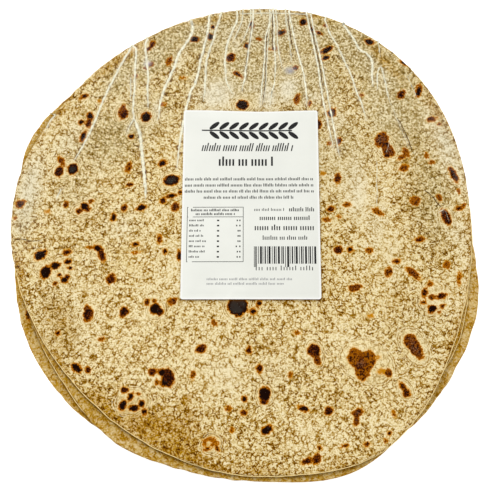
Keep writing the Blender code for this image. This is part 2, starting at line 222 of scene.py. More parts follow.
# Pale areas of the top bread: (photo column, photo row, length mm, width mm, turn, strength)
PALE_PATCHES = (
    (216, 95, 22.0, 17.0, 10, 0.85), (155, 112, 14.0, 5.0, 75, 0.65), (268, 98, 16.0, 10.0, 80, 0.80),
    (288, 90, 17.0, 12.0, 70, 0.80), (236, 46, 9.0, 4.0, 75, 0.45), (29, 192, 50.0, 14.0, 80, 0.60),
    (180, 60, 24.0, 10.0, 60, 0.35), (310, 66, 26.0, 7.0, -75, 0.30), (312, 97, 14.0, 9.0, 0, 0.50),
    (357, 190, 44.0, 13.0, 88, 0.45), (375, 225, 36.0, 18.0, 90, 0.34), (228, 88, 9.0, 8.0, 0, 0.45),
    (255, 88, 12.0, 6.0, 0, 0.45), (446, 150, 60.0, 14.0, -72, 0.55), (70, 140, 40.0, 18.0, 60, 0.40),
    (392, 262, 30.0, 14.0, 90, 0.30), (226, 374, 26.0, 24.0, 60, 0.26),
    (272, 376, 30.0, 22.0, 20, 0.24), (122, 224, 24.0, 20.0, 0, 0.34),
    (460, 235, 26.0, 12.0, -80, 0.35), (338, 120, 14.0, 10.0, 0, 0.35),
)

# Grey haze on the film, partly its own haze and partly painted reflection of soft light: (photo column,
# photo row, length mm, width mm, turn, strength)
HAZE_AND_REFLECTION_PATCHES = (
    (255, 60, 190.0, 90.0, 0, 0.010), (28, 205, 40.0, 14.0, 84, 0.13),
    (289.8, 71.0, 5.8, 4.2, 12, 0.58), (148, 64, 4.0, 3.0, 10, 0.45), (449, 140, 44.0, 12.0, -72, 0.08),
)

# Creases of the film, from the far rim towards the label: (width mm, strength, photo points)
CREASES = (
    (0.9, 0.75, ((131.8, 46.4), (125.7, 57), (115.5, 75.5), (103.3, 100), (98.9, 111.6), (94, 123),
                 (86, 140), (74, 161))),
    (0.8, 0.85, ((133, 46.4), (136.4, 51), (134.9, 71), (134.9, 87), (132.9, 109), (133.9, 118),
                 (130.7, 124), (127.6, 132))),
    (1.3, 0.80, ((133.9, 118), (140.3, 137), (142.7, 161), (144.3, 175), (145.9, 199))),
    (0.7, 0.45, ((130.3, 77.6), (130.8, 88), (130.8, 100))),
    (0.9, 0.75, ((147.7, 39.3), (145.6, 45), (146.6, 61), (148.2, 76.5), (147.7, 89), (148.2, 109))),
    (1.1, 0.85, ((191, 20.4), (192.6, 28.6), (190, 38), (179.8, 53), (173.7, 69), (165.5, 87),
                 (161.4, 98), (157.8, 121))),
    (1.0, 0.85, ((209.4, 15.3), (207.3, 34), (201.2, 59), (196, 82), (191, 92), (186.9, 107),
                 (182.8, 125.6), (178.7, 151), (177, 170.5))),
    (1.0, 0.70, ((221.6, 12.2), (217.6, 25.5), (212.4, 43), (206.8, 61), (205.3, 82), (203.8, 102))),
    (0.9, 0.75, ((236.9, 11.2), (236.9, 20.4), (231.8, 33), (226.7, 47), (225.2, 65), (226.7, 82),
                 (232.9, 95))),
    (0.6, 0.60, ((243, 10.7), (242, 21), (236.9, 34), (232.9, 43))),
    (0.6, 0.60, ((251, 10), (250, 22), (246, 34), (241, 44))),
    (0.8, 0.90, ((253.3, 11), (251.7, 31), (249.2, 46), (246, 69), (242, 92))),
    (0.6, 0.50, ((259.4, 9), (261, 13), (262.4, 17))),
    (0.6, 0.90, ((269.6, 10), (269.6, 22), (265.5, 39), (264.5, 61), (262, 87), (260, 108))),
    (0.5, 0.60, ((271.6, 15), (268.6, 36), (267, 61), (266, 82), (264, 102))),
    (0.6, 0.90, ((273.2, 10), (274.2, 25.5), (274.2, 41), (275.2, 61), (274.7, 80), (272, 92),
                 (269.6, 107))),
    (0.6, 0.65, ((275.7, 10), (277.2, 25.5), (277.8, 46), (280.8, 61), (282.3, 69))),
    (0.6, 0.60, ((285.4, 10), (287.4, 31), (290, 46), (291.5, 63))),
    (0.7, 0.95, ((289, 12), (293, 33), (297, 51), (303.3, 73.5), (306.3, 92), (306.8, 107))),
    (0.7, 0.95, ((306.3, 13), (309.4, 26.5), (313.5, 46), (318.6, 71), (321.6, 92), (324.7, 109),
                 (331.3, 139), (332.9, 148))),
    (0.7, 0.90, ((310.4, 13), (313.5, 26.5), (317.6, 46), (322.7, 69), (326.7, 90), (330.3, 109),
                 (336, 140), (339.3, 158))),
    (0.8, 0.75, ((325.2, 20), (329.8, 33), (336.9, 45), (344, 60), (351.2, 75.5), (356.3, 91),
                 (361.4, 103), (366.4, 121))),
    (1.0, 0.85, ((343, 24.5), (351.2, 35), (359.4, 49), (366.5, 53), (372, 61), (372, 76.5),
                 (373.2, 87))),
    (0.6, 0.40, ((377.8, 41), (379.5, 49), (380.8, 57))),
    (0.7, 0.70, ((377.8, 89), (377.4, 80), (378.2, 71), (381.3, 67), (384.4, 78), (386.9, 90),
                 (390, 102))),
    (0.30, 0.42, ((389, 99), (392, 106), (396.6, 118), (401.8, 130), (405.6, 140), (408.6, 149))),
    (0.30, 0.35, ((389.6, 140), (388, 146), (386.4, 153))),
    (0.5, 0.30, ((407.8, 76.5), (413, 88), (419, 102))),
    (0.6, 0.35, ((376.8, 161), (376.8, 184), (376.8, 207))),
    (0.8, 0.50, ((55.6, 114.7), (50, 121), (46, 129), (44, 133))),
    (0.7, 0.60, ((60.5, 189), (58.5, 194), (56.5, 199))),
    (0.5, 0.70, ((240, 14.2), (262, 13.4), (285, 13.6), (311, 14.6))),
    (0.2, 0.22, ((445.4, 211), (447.4, 217), (449.2, 223))),
    (0.4, 0.45, ((438.5, 213), (440.6, 211.2), (444.4, 209.4))),
)

# Painted shade in the folds between creases that lie close together, in the same terms
FOLD_SHADES = (
    (0.26, 0.80, ((268.6, 24), (266.8, 36), (266.0, 50), (265.8, 72), (264.2, 92), (262.4, 106))),
    (0.34, 0.70, ((272.6, 13), (272.4, 31), (272.6, 50))),
    (0.36, 0.80, ((288.0, 16), (289.4, 28), (291.2, 40), (293.4, 52))),
    (0.32, 0.60, ((308.6, 16), (311.4, 27), (315.4, 46), (320.4, 70), (324, 92))),
    (0.30, 0.60, ((252.6, 18), (250.8, 33), (247.4, 56), (244.6, 74))),
    (0.32, 0.50, ((397.6, 118), (403.4, 128), (408, 139), (411.6, 148), (415.4, 157))),
    (0.34, 0.50, ((424, 190), (432, 196), (437, 203), (443, 208))),
    (0.30, 0.42, ((12, 240), (22, 239), (32, 241), (42, 240))),
)

# Painted highlights of the film along a rim: (bread, first direction, last direction, width mm, strength)
RIM_HIGHLIGHTS = (
    (2, 184.0, 262.0, 0.36, 1.40), (2, 256.0, 300.0, 0.36, 1.40), (2, 296.0, 366.0, 0.42, 1.40),
    (1, 210.5, 230.0, 0.36, 1.10), (1, 318.0, 345.0, 0.40, 0.80), (2, 94.0, 112.0, 0.40, 0.35),
)


def to_mesh(drawn: bmesh.types.BMesh, name: str) -> bpy.types.Mesh:
    """Turn a drawn mesh into data of its own; the drawing is used up.

    Args:
        drawn: The drawn mesh.
        name: Name of the data.

    Returns:
        The mesh.
    """
    mesh = bpy.data.meshes.new(name)
    drawn.to_mesh(mesh)
    drawn.free()
    return mesh


def add_object(name: str, data: bpy.types.ID) -> bpy.types.Object:
    """Put a mesh, camera or light into the scene.

    Args:
        name: Name of the object.
        data: What it holds.

    Returns:
        The object.
    """
    item = bpy.data.objects.new(name, data)
    bpy.context.scene.collection.objects.link(item)
    return item


@dataclass(frozen=True)
class PhotoView:
    """The camera of the reference view, and where its pixels fall on the pack."""

    target: tuple[float, float, float] = (0.0029, -0.0108, 0.0086)
    tilt: float = math.radians(12.0)
    distance: float = 0.363
    frame_px: float = 500.0
    focal_px: float = 720.8
    sensor_mm: float = 36.0
    nearest: float = 0.01

    def eye(self) -> Vector:
        """Return the camera's place."""
        offset = Vector((0.0, -math.sin(self.tilt), math.cos(self.tilt))) * self.distance
        return Vector(self.target) + offset

    def place(self, column: float, row: float, height: float) -> tuple[float, float]:
        """Find the point that a photo pixel shows at a height above the floor.

        Args:
            column: Pixel column in the 500 by 500 photo.
            row: Pixel row, counted from the top.
            height: Height of the surface that the pixel shows.

        Returns:
            The point's x and y in the frame.
        """
        eye = self.eye()
        forward = (Vector(self.target) - eye).normalized()
        right = Vector((1.0, 0.0, 0.0))
        up = right.cross(forward)
        centre = self.frame_px / 2
        ray = (column - centre) * right + (centre - row) * up + self.focal_px * forward
        point = eye + ray * ((height - eye.z) / ray.z)
        return point.x, point.y

    def set_camera(self) -> None:
        """Create the camera and make it the scene's own."""
        lens = bpy.data.cameras.new("camera")
        lens.sensor_width = self.sensor_mm
        lens.lens = self.sensor_mm * self.focal_px / self.frame_px
        lens.clip_start = self.nearest
        lens.dof.use_dof = False
        camera = add_object("camera", lens)
        camera.location = self.eye()
        camera.rotation_euler = (self.tilt, 0.0, 0.0)
        bpy.context.scene.camera = camera


@dataclass(frozen=True)
class StackForm:
    """The stack's own shape: the outline of each bread and the long waves of the top face.

    A wave is its length, its direction and shift in degrees, and its height. An outline is a circle
    with pushes, each with its direction and spread in degrees and its size in millimetres.
    """

    middle: tuple[float, float] = (-0.0010, 0.0002)
    bread_thickness: float = 0.0028
    mean_reach: float = 0.117
    dome: float = 0.0005
    waves: tuple = (
        (0.165, 20, 40, 0.00022),
        (0.120, 112, 150, 0.00016),
        (0.140, 65, 260, 0.00014),
    )
    outlines: tuple = (
        ((50, 22, 6.5), (84, 20, 3.5), (209, 14, 4.5), (235, 12, 4.0), (303, 10, 7.0), (323, 14, 9.5),
         (343, 9, 5.0)),
        ((50, 22, 7.5), (84, 20, 4.5), (156, 10, 5.5), (200, 16, -1.5), (238, 9, 4.0), (262, 14, 4.5),
         (296, 14, 14.0), (330, 10, 4.5)),
        ((32, 14, 4.0), (55, 16, 7.5), (80, 18, 6.0), (108, 16, 1.0), (165, 8, 2.0), (180, 9, 1.5),
         (222, 20, -4.0), (273, 12, 3.5), (299, 12, 10.0), (318, 12, 4.5)),
    )

    @property
    def count(self) -> int:
        """Number of breads."""
        return len(self.outlines)

    @property
    def height(self) -> float:
        """Height of the stack at its rim."""
        return self.count * self.bread_thickness

    def reach(self, bread: int, angle: Array) -> Array:
        """Distance from the stack's middle to a bread's rim.

        Args:
            bread: Index of the bread, 0 for the lowest.
            angle: Directions in radians.

        Returns:
            The reach in each direction.
        """
        total = np.full(np.shape(angle), self.mean_reach)
        for direction, spread, push in self.outlines[bread]:
            turn = (np.degrees(angle) - direction + 180.0) % 360.0 - 180.0
            total += push * MM * np.exp(-0.5 * (turn / spread) ** 2)
        return total

    def top(self, x: Array, y: Array) -> Array:
        """Height of the pack's top face over points of the frame.

        Args:
            x: First coordinates.
            y: Second coordinates.

        Returns:
            The heights above the floor.
        """
        x, y = np.asarray(x) - self.middle[0], np.asarray(y) - self.middle[1]
        share = np.hypot(x, y) / self.reach(self.count - 1, np.arctan2(y, x))
        height = self.height + self.dome * (1 - np.minimum(share, 1.0) ** 2)
        for length, direction, shift, amplitude in self.waves:
            along = x * math.cos(math.radians(direction)) + y * math.sin(math.radians(direction))
            height = height + amplitude * np.sin(2 * math.pi * along / length + math.radians(shift))
        return height


VIEW = PhotoView()
FORM = StackForm()


@dataclass(frozen=True)
class Oval:
    """One oval spot, placed by the photo pixel of its middle, with its real size."""

    column: float
    row: float
    length_mm: float
    width_mm: float
    turn: float
    value: Heat | float


@dataclass(frozen=True)
class Spots:
    """Oval spots on one of the pack's faces, each with a value of its own."""

    rows: tuple
    height: float
    outside: float = -9.0
    fade: float = 0.9
    shoulder: float = 0.3

    def ovals(self, x: Array, y: Array) -> Iterator[tuple[Array, Oval]]:
        """Go through the spots, each with its own measure of distance.

        Args:
            x: First coordinates of the points.
            y: Second coordinates of the points.

        Returns:
            For each spot, the points' distance from its middle, 1 at its edge, and the spot.
        """
        for oval in (Oval(*row) for row in self.rows):
            centre_x, centre_y = VIEW.place(oval.column, oval.row, self.height)
            spin = math.radians(oval.turn)
            along = (x - centre_x) * math.cos(spin) + (y - centre_y) * math.sin(spin)
            across = (y - centre_y) * math.cos(spin) - (x - centre_x) * math.sin(spin)
            reach = np.hypot(along / (0.5 * oval.length_mm * MM), across / (0.5 * oval.width_mm * MM))
            yield reach, oval

    def depth(self, x: Array, y: Array) -> tuple[Array, Array]:
        """Measure how deep points lie inside the nearest spot.

        Args:
            x: First coordinates.
            y: Second coordinates.

        Returns:
            The depth in millimetres, negative outside every spot, and the index of the nearest spot.
        """
        depth = np.full(np.shape(x), self.outside)
        index = np.zeros(np.shape(x), dtype=np.int32)
        for number, (reach, oval) in enumerate(self.ovals(x, y)):
            inside = (1.0 - reach) * 0.5 * min(oval.length_mm, oval.width_mm)
            index = np.where(inside > depth, number, index)
            depth = np.maximum(depth, inside)
        return depth, index

    def strength(self, x: Array, y: Array) -> Array:
        """Find the strongest soft spot over each point, fading out from its middle.

        Args:
            x: First coordinates.
            y: Second coordinates.

        Returns:
            The strengths.
        """
        total = np.zeros(np.shape(x))
        for reach, oval in self.ovals(x, y):
            total = np.maximum(total, oval.value * np.exp(-self.fade * reach**2))
        return total

    def domes(self, x: Array, y: Array) -> Array:
        """Find the tallest dome over each point, steep at its edge.

        Args:
            x: First coordinates.
            y: Second coordinates.

        Returns:
            The domes' heights in metres.
        """
        total = np.zeros(np.shape(x))
        for reach, oval in self.ovals(x, y):
            rise = np.clip((1.0 - reach) / self.shoulder, 0.0, 1.0)
            total = np.maximum(total, oval.value * MM * rise * rise * (3 - 2 * rise))
        return total


TOP_SPOTS = Spots(TOP_MARKS, FORM.height)
TOP_BLISTERS = Spots(BLISTERS, FORM.height)
TOP_TOAST = Spots(TOAST_PATCHES, FORM.height)
TOP_GRAIN = Spots(GRAIN_PATCHES, FORM.height)
TOP_SMOOTH = Spots(SMOOTH_PATCHES, FORM.height)
TOP_PALE = Spots(PALE_PATCHES, FORM.height)
NO_SPOTS = Spots((), FORM.height)


@dataclass(frozen=True)
class Ripple:
    """Uneven relief: many plane waves of random direction and length."""

    seed: int
    shortest: float
    longest: float
    count: int = 28

    def field(self, x: Array, y: Array) -> Array:
        """Work out the relief over points.

        Args:
            x: First coordinates.
            y: Second coordinates.

        Returns:
            The relief at each point, mostly between -1 and 1.
        """
        rng = np.random.default_rng(self.seed)
        total = np.zeros(np.shape(x))
        for _ in range(self.count):
            turn = rng.uniform(0, 2 * math.pi)
            length = rng.uniform(self.shortest, self.longest)
            shift = rng.uniform(0, 2 * math.pi)
            along = x * math.cos(turn) + y * math.sin(turn)
            total = total + np.sin(2 * math.pi * along / length + shift)
        return total / math.sqrt(self.count)


@dataclass(frozen=True)
class RoundSheet:
    """A closed round body: a face of small cells, rings extruded down its rim and a flat base."""

    cells: int
    rings: int

    def mesh(self, name: str) -> bpy.types.Mesh:
        """Make the body's mesh on a square, with each vertex's ring kept as an attribute.

        Args:
            name: Name of the mesh.

        Returns:
            The mesh.
        """
        sheet = bmesh.new()
        ring = sheet.verts.layers.int.new("ring")
        bmesh.ops.create_grid(sheet, x_segments=self.cells, y_segments=self.cells, size=1.0)
        edges = [edge for edge in sheet.edges if edge.is_boundary]
        for step in range(1, self.rings + 1):
            grown = bmesh.ops.extrude_edge_only(sheet, edges=edges)["geom"]
            for vertex in (item for item in grown if isinstance(item, bmesh.types.BMVert)):
                vertex[ring] = step
            edges = [
                item
                for item in grown
                if isinstance(item, bmesh.types.BMEdge) and all(v[ring] == step for v in item.verts)
            ]
        bmesh.ops.holes_fill(sheet, edges=edges, sides=0)
        return to_mesh(sheet, name)

    def lay(self, mesh: bpy.types.Mesh) -> tuple[Array, Array, Array]:
        """Read the mesh as a disc.

        Args:
            mesh: The mesh made by this sheet.

        Returns:
            Each vertex's direction in radians, its share of the way to the rim, and its ring.
        """
        flat = np.empty(len(mesh.vertices) * 3)
        mesh.vertices.foreach_get("co", flat)
        x, y = flat.reshape(-1, 3)[:, 0], flat.reshape(-1, 3)[:, 1]
        across, along = x * np.sqrt(1 - y * y / 2), y * np.sqrt(1 - x * x / 2)
        ring = np.empty(len(mesh.vertices), dtype=np.int32)
        mesh.attributes["ring"].data.foreach_get("value", ring)
        return np.arctan2(along, across), np.hypot(across, along), ring


def set_points(mesh: bpy.types.Mesh, x: Array, y: Array, z: Array) -> None:
    """Put a round sheet's vertices in their places and turn its faces outwards.

    Args:
        mesh: The mesh to shape.
        x: First coordinates.
        y: Second coordinates.
        z: Heights.
    """
    mesh.vertices.foreach_set("co", np.stack((x, y, z), axis=1).ravel())
    mesh.attributes.remove(mesh.attributes["ring"])
    turned = bmesh.new()
    turned.from_mesh(mesh)
    bmesh.ops.recalc_face_normals(turned, faces=turned.faces)
    turned.to_mesh(mesh)
    turned.free()
    mesh.shade_smooth()


def set_values(mesh: bpy.types.Mesh, name: str, values: Array) -> None:
    """Store one value a vertex as a named attribute."""
    layer = mesh.attributes.new(name, "FLOAT", "POINT")
    layer.data.foreach_set("value", np.ascontiguousarray(values, dtype=np.float32))


def place_piece(mesh: bpy.types.Mesh, material: bpy.types.Material) -> bpy.types.Object:
    """Add a finished mesh to the scene as a piece of the pack.

    Args:
        mesh: The mesh, already in place.
        material: Its finish.

    Returns:
        The new object.
    """
    piece = add_object(mesh.name, mesh)
    mesh.materials.clear()
    mesh.materials.append(material)
    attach(piece, BODY)
    LOG.info("%s: %d faces", piece.name, len(mesh.polygons))
    return piece


def seen(red: int, green: int, blue: int) -> tuple[float, float, float, float]:
    """Turn a colour, 0 to 255 a channel as it shows in this light, into the paint that gives it.

    Args:
        red: Red as seen.
        green: Green as seen.
        blue: Blue as seen.

    Returns:
        The linear shader colour.
    """
    linear = []
    for channel in (red, green, blue):
        share = channel / 255
        linear.append(share / 12.92 if share <= 0.04045 else ((share + 0.055) / 1.055) ** 2.4)
    return (*(value / BRIGHTNESS for value in linear), 1.0)


@dataclass(frozen=True)
class Pattern:
    """A noise pattern, and the part of its range that is spread over 0 to 1."""

    scale: float
    detail: float
    low: float
    high: float
    rough: float = 0.55


@dataclass(frozen=True)
class Sheet:
    """A node tree to draw on: adds nodes with their values and links in one call."""

    tree: bpy.types.NodeTree

    def add(self, kind: str, inputs: dict | None = None, **settings: object) -> bpy.types.Node:
        """Add one node.

        Args:
            kind: The node's type, without its ShaderNode prefix.
            inputs: Values or output sockets by input name or index.
            **settings: Properties of the node.

        Returns:
            The new node.
        """
        node = self.tree.nodes.new("ShaderNode" + kind)
        for name, value in settings.items():
            setattr(node, name, value)
        for key, value in (inputs or {}).items():
            if isinstance(value, Socket):
                self.tree.links.new(value, node.inputs[key])
            else:
                node.inputs[key].default_value = value
        return node

    def math(self, operation: str, *values: object) -> Socket:
        """Add a Math node and return its output."""
        return self.add("Math", dict(enumerate(values)), operation=operation).outputs[0]

    def line(self, value: object, slope: object, start: object) -> Socket:
        """Return slope times the value plus a start, each a number or an output."""
        return self.math("MULTIPLY_ADD", value, slope, start)

    def product(self, *values: object) -> Socket:
        """Multiply any number of values.

        Args:
            *values: Numbers or outputs.

        Returns:
            The product's output.
        """
        total = values[0]
        for value in values[1:]:
            total = self.math("MULTIPLY", total, value)
        return total

    def span(self, value: object, low: float, high: float) -> Socket:
        """Map a value from a range to 0 to 1, smoothly, and return the output."""
        inputs = {"Value": value, "From Min": low, "From Max": high}
        return self.add("MapRange", inputs, interpolation_type="SMOOTHSTEP").outputs["Result"]

    def blend(self, factor: object, first: object, second: object) -> Socket:
        """Mix two colours and return the output."""
        return self.add("Mix", {0: factor, 6: first, 7: second}, data_type="RGBA").outputs[2]

    def total(self, *parts: tuple) -> Socket:
        """Add up values by their weights.

        Args:
            *parts: Pairs of a value and its weight.

        Returns:
            The sum's output.
        """
        value, weight = parts[0]
        total = self.math("MULTIPLY", value, weight)
        for value, weight in parts[1:]:
            total = self.line(value, weight, total)
        return total

    def deepen(self, colour: object, amount: object, shares: tuple) -> Socket:
        """Brown a colour as heat browns a crust.

        Args:
            colour: The colour to start from.
            amount: How far it is browned.
            shares: What one unit of browning leaves of the red, green and blue.

        Returns:
            The browned colour.
        """
        left = [self.math("POWER", share, amount) for share in shares]
        tint = self.add("CombineXYZ", dict(enumerate(left))).outputs[0]
        return self.add("VectorMath", {0: colour, 1: tint}, operation="MULTIPLY").outputs[0]

    def noise(self, vector: object, scale: float, detail: float, rough: float = 0.55) -> Socket:
        """Add a Noise texture and return its factor."""
        inputs = {"Vector": vector, "Scale": scale, "Detail": detail, "Roughness": rough}
        return self.add("TexNoise", inputs).outputs["Fac"]

    def swing(self, vector: object, scale: float, detail: float, rough: float = 0.55) -> Socket:
        """Return noise that swings about zero."""
        return self.math("SUBTRACT", self.noise(vector, scale, detail, rough), 0.5)

    def pattern(self, vector: object, kind: Pattern) -> Socket:
        """Add a noise pattern and return it, spread over 0 to 1."""
        return self.span(self.noise(vector, kind.scale, kind.detail, kind.rough), kind.low, kind.high)

    def warp(self, vector: object, scale: float, reach: float) -> Socket:
        """Push a vector about by noise.

        Args:
            vector: The coordinates to bend.
            scale: Scale of the noise.
            reach: How far a point moves at most.

        Returns:
            The bent coordinates.
        """
        bend = self.add("TexNoise", {"Vector": vector, "Scale": scale, "Detail": 2.0})
        halved = (0.5, 0.5, 0.5)
        push = self.add("VectorMath", {0: bend.outputs["Color"], 1: halved}, operation="SUBTRACT")
        push = self.add("VectorMath", {0: push.outputs[0], "Scale": 2 * reach}, operation="SCALE")
        return self.add("VectorMath", {0: vector, 1: push.outputs[0]}, operation="ADD").outputs[0]

    def cracks(self, vector: object, scale: float, width: float) -> Socket:
        """Draw lines between cells of a Voronoi pattern and return their mask."""
        cells = self.add("TexVoronoi", {"Vector": vector, "Scale": scale}, feature="DISTANCE_TO_EDGE")
        return self.span(cells.outputs["Distance"], width, 0.35 * width)

    def cell_tone(self, vector: object, scale: float) -> Socket:
        """Give each cell of a Voronoi pattern a tone of its own and return it."""
        cells = self.add("TexVoronoi", {"Vector": vector, "Scale": scale}, feature="F1")
        return self.math("MULTIPLY", cells.outputs["Color"], 1.0)

    def value(self, name: str) -> Socket:
        """Read one of the mesh's own attributes."""
        return self.add("Attribute", attribute_name=name).outputs["Fac"]

    def coordinates(self) -> Socket:
        """Return the object's own coordinates."""
        return self.add("TexCoord").outputs["Object"]


@dataclass
class Material:
    """A material under construction: the material, its sheet of nodes and its Principled shader."""

    name: str

    def __post_init__(self) -> None:
        """Make the material with its first two nodes."""
        self.data = bpy.data.materials.new(self.name)
        self.data.use_nodes = True
        self.sheet = Sheet(self.data.node_tree)
        self.shader = self.data.node_tree.nodes["Principled BSDF"]

    def set(self, name: str, value: object) -> None:
        """Set or link one input of the shader.

        Args:
            name: The input's name.
            value: A plain value or an output.
        """
        if isinstance(value, Socket):
            self.data.node_tree.links.new(value, self.shader.inputs[name])
        else:
            self.shader.inputs[name].default_value = value

    def coat(self, colour: object, roughness: object, gloss: float = 0.5) -> None:
        """Give the surface its look.

        Args:
            colour: Its colour.
            roughness: Its roughness.
            gloss: Strength of its mirror light, 0.5 for a plain surface.
        """
        self.set("Base Color", colour)
        self.set("Roughness", roughness)
        self.set("Specular IOR Level", gloss)

    def bump(self, height: object, strength: float, distance: float) -> None:
        """Give the surface fine relief."""
        inputs = {"Strength": strength, "Distance": distance, "Height": height}
        self.set("Normal", self.sheet.add("Bump", inputs).outputs["Normal"])

    def see_through(self, cover: object) -> None:
        """Let the surface show only by a share, and leave it out for shadows.

        Args:
            cover: How much of the surface shows, 0 to 1.
        """
        shadow = self.sheet.add("LightPath").outputs["Is Shadow Ray"]
        cover = self.sheet.product(cover, self.sheet.math("SUBTRACT", 1.0, shadow))
        through = self.sheet.add("BsdfTransparent").outputs[0]
        mixed = self.sheet.add("MixShader", {0: cover, 1: through, 2: self.shader.outputs[0]})
        output = self.data.node_tree.nodes["Material Output"]
        self.data.node_tree.links.new(mixed.outputs[0], output.inputs["Surface"])


@dataclass(frozen=True)
class CrustMaps:
    """Values over the crust that several of its layers share."""

    vector: object
    grain: object
    toast: object
    smooth: object
    flakes_at: object
    crumbs_at: object
    wide: object
    lights: object
    points: object
    calm: object
    toasted: object
    pallor: object


@dataclass(frozen=True)
class CrumbGroup:
    """The floury crust of a griddled bread: flakes with stained cracks, bran specks and tan areas."""

    flour: tuple = seen(254, 243, 209)
    cream: tuple = seen(246, 229, 180)
    straw: tuple = seen(228, 204, 135)
    olive: tuple = seen(206, 190, 151)
    pale: tuple = seen(242, 235, 211)
    tan: tuple = seen(216, 182, 104)
    honey: tuple = seen(208, 172, 92)
    ochre: tuple = seen(192, 150, 66)
    browning: tuple = (0.368, 0.236, 0.094)
    cool_browning: tuple = (0.368, 0.306, 0.200)
    crispness: float = 1.12
    calmness: float = 0.13
    deepest: float = 2.2
    flake_scale: float = 360.0
    crumb_scale: float = 760.0
    wide: Pattern = Pattern(34.0, 3.0, 0.37, 0.66)
    near: Pattern = Pattern(150.0, 3.0, 0.34, 0.70)
    soft: Pattern = Pattern(330.0, 3.0, 0.38, 0.66)
    fine: Pattern = Pattern(1200.0, 2.0, 0.50, 0.66)
    broken: Pattern = Pattern(260.0, 3.0, 0.45, 0.56, 0.6)
    ragged: Pattern = Pattern(480.0, 2.0, 0.46, 0.57)
    dashes: Pattern = Pattern(950.0, 2.0, 0.40, 0.54, 0.6)
    specks: Pattern = Pattern(860.0, 2.0, 0.56, 0.66)
    # Small pale specks: partly flour, partly painted highlights
    lights: Pattern = Pattern(720.0, 2.0, 0.53, 0.64)
    patches: Pattern = Pattern(95.0, 3.0, 0.50, 0.66)
    bare: Pattern = Pattern(420.0, 3.0, 0.48, 0.32, 0.6)
    mottles: Pattern = Pattern(340.0, 4.0, 0.48, 0.66, 0.7)
    pepper: Pattern = Pattern(820.0, 2.0, 0.46, 0.58, 0.5)
    cell_tones: tuple = (0.30, 0.75)
    name: str = "crumb"

    def build(self) -> bpy.types.NodeTree:
        """Make the node group.

        Returns:
            The group, with the crust's colour and height as outputs.
        """
        group = bpy.data.node_groups.new(self.name, "ShaderNodeTree")
        group.interface.new_socket("Vector", in_out="INPUT", socket_type="NodeSocketVector")
        for name in ("Toast", "Smooth", "Grain", "Pale"):
            group.interface.new_socket(name, in_out="INPUT", socket_type="NodeSocketFloat")
        group.interface.new_socket("Color", in_out="OUTPUT", socket_type="NodeSocketColor")
        group.interface.new_socket("Height", in_out="OUTPUT", socket_type="NodeSocketFloat")
        sheet = Sheet(group)
        maps = self.maps(sheet, group.nodes.new("NodeGroupInput"))
        colour = self.paint(sheet, maps)
        amount, islands, grains = self.stain(sheet, maps)
        cool = sheet.math("MAXIMUM", sheet.span(maps.grain, 0.0, 0.6), maps.pallor)
        shares = [
            sheet.line(cool, cooler - share, share)
            for share, cooler in zip(self.browning, self.cool_browning)
        ]
        colour = sheet.deepen(colour, sheet.math("MINIMUM", amount, self.deepest), shares)
        swell = sheet.product(sheet.noise(maps.vector, 280.0, 2.0), 1.3)
        height = sheet.total((maps.lights, 0.5), (swell, 1.0), (islands, -0.9), (grains, -0.6))
        result = group.nodes.new("NodeGroupOutput")
        group.links.new(colour, result.inputs["Color"])
        group.links.new(height, result.inputs["Height"])
        return group

    def maps(self, sheet: Sheet, given: bpy.types.Node) -> CrustMaps:
        """Draw what the layers share.

        Args:
            sheet: The group's nodes.
            given: The group's input node.

        Returns:
            The shared values.
        """
        vector, grain = given.outputs["Vector"], given.outputs["Grain"]
        toast = sheet.line(sheet.swing(vector, 210.0, 4.0, 0.65), 1.5, given.outputs["Toast"])
        return CrustMaps(
            vector=vector,
            grain=grain,
            toast=given.outputs["Toast"],
            smooth=given.outputs["Smooth"],
            flakes_at=sheet.warp(vector, 420.0, 0.0008),
            crumbs_at=sheet.warp(vector, 700.0, 0.0005),
            wide=sheet.pattern(vector, self.wide),
            lights=sheet.product(sheet.pattern(vector, self.lights), sheet.line(grain, -0.3, 1.0)),
            points=sheet.noise(vector, 1150.0, 2.0, 0.5),
            calm=sheet.line(given.outputs["Smooth"], -0.7, 1.0),
            toasted=sheet.span(toast, 0.32, 0.62),
            pallor=sheet.span(given.outputs["Pale"], 0.0, 0.9),
        )

    def paint(self, sheet: Sheet, maps: CrustMaps) -> Socket:
        """Lay the ground colours and the flour, partly painted highlights.

        Args:
            sheet: The group's nodes.
            maps: The shared values.

        Returns:
            The colour.
        """
        flakes = sheet.span(sheet.cell_tone(maps.flakes_at, self.flake_scale), *self.cell_tones)
        crumbs = sheet.span(sheet.cell_tone(maps.crumbs_at, self.crumb_scale), *self.cell_tones)
        soft = sheet.pattern(maps.vector, self.soft)
        fine = sheet.pattern(maps.vector, self.fine)
        ground = sheet.total((soft, 0.05), (maps.wide, 0.30), (flakes, 0.06), (crumbs, 0.10), (fine, 0.30))
        colour = sheet.blend(ground, self.cream, self.straw)
        warm = sheet.span(maps.toast, 0.04, 0.62)
        bare = sheet.product(sheet.pattern(maps.vector, self.bare), maps.toasted)
        layers = (
            (maps.grain, 0.70, self.olive),
            (sheet.pattern(maps.vector, self.patches), 0.22, self.tan),
            (warm, 0.75, self.honey),
            (maps.toasted, 0.85, self.ochre),
            (bare, 0.60, self.straw),
            (maps.pallor, 0.85, self.pale),
        )
        for mask, cover, layer in layers:
            colour = sheet.blend(sheet.product(mask, cover), colour, layer)
        # Flour dust, with small painted highlights from the specks pattern mixed in
        lit = sheet.line(warm, -0.50, 1.0)
        flour_dust_and_glints = sheet.product(sheet.span(maps.points, 0.49, 0.43), maps.calm, lit)
        flour_dust_and_glints = sheet.math("MAXIMUM", sheet.product(flour_dust_and_glints, 0.40), sheet.product(maps.lights, lit, 0.64))
        return sheet.blend(flour_dust_and_glints, colour, self.flour)

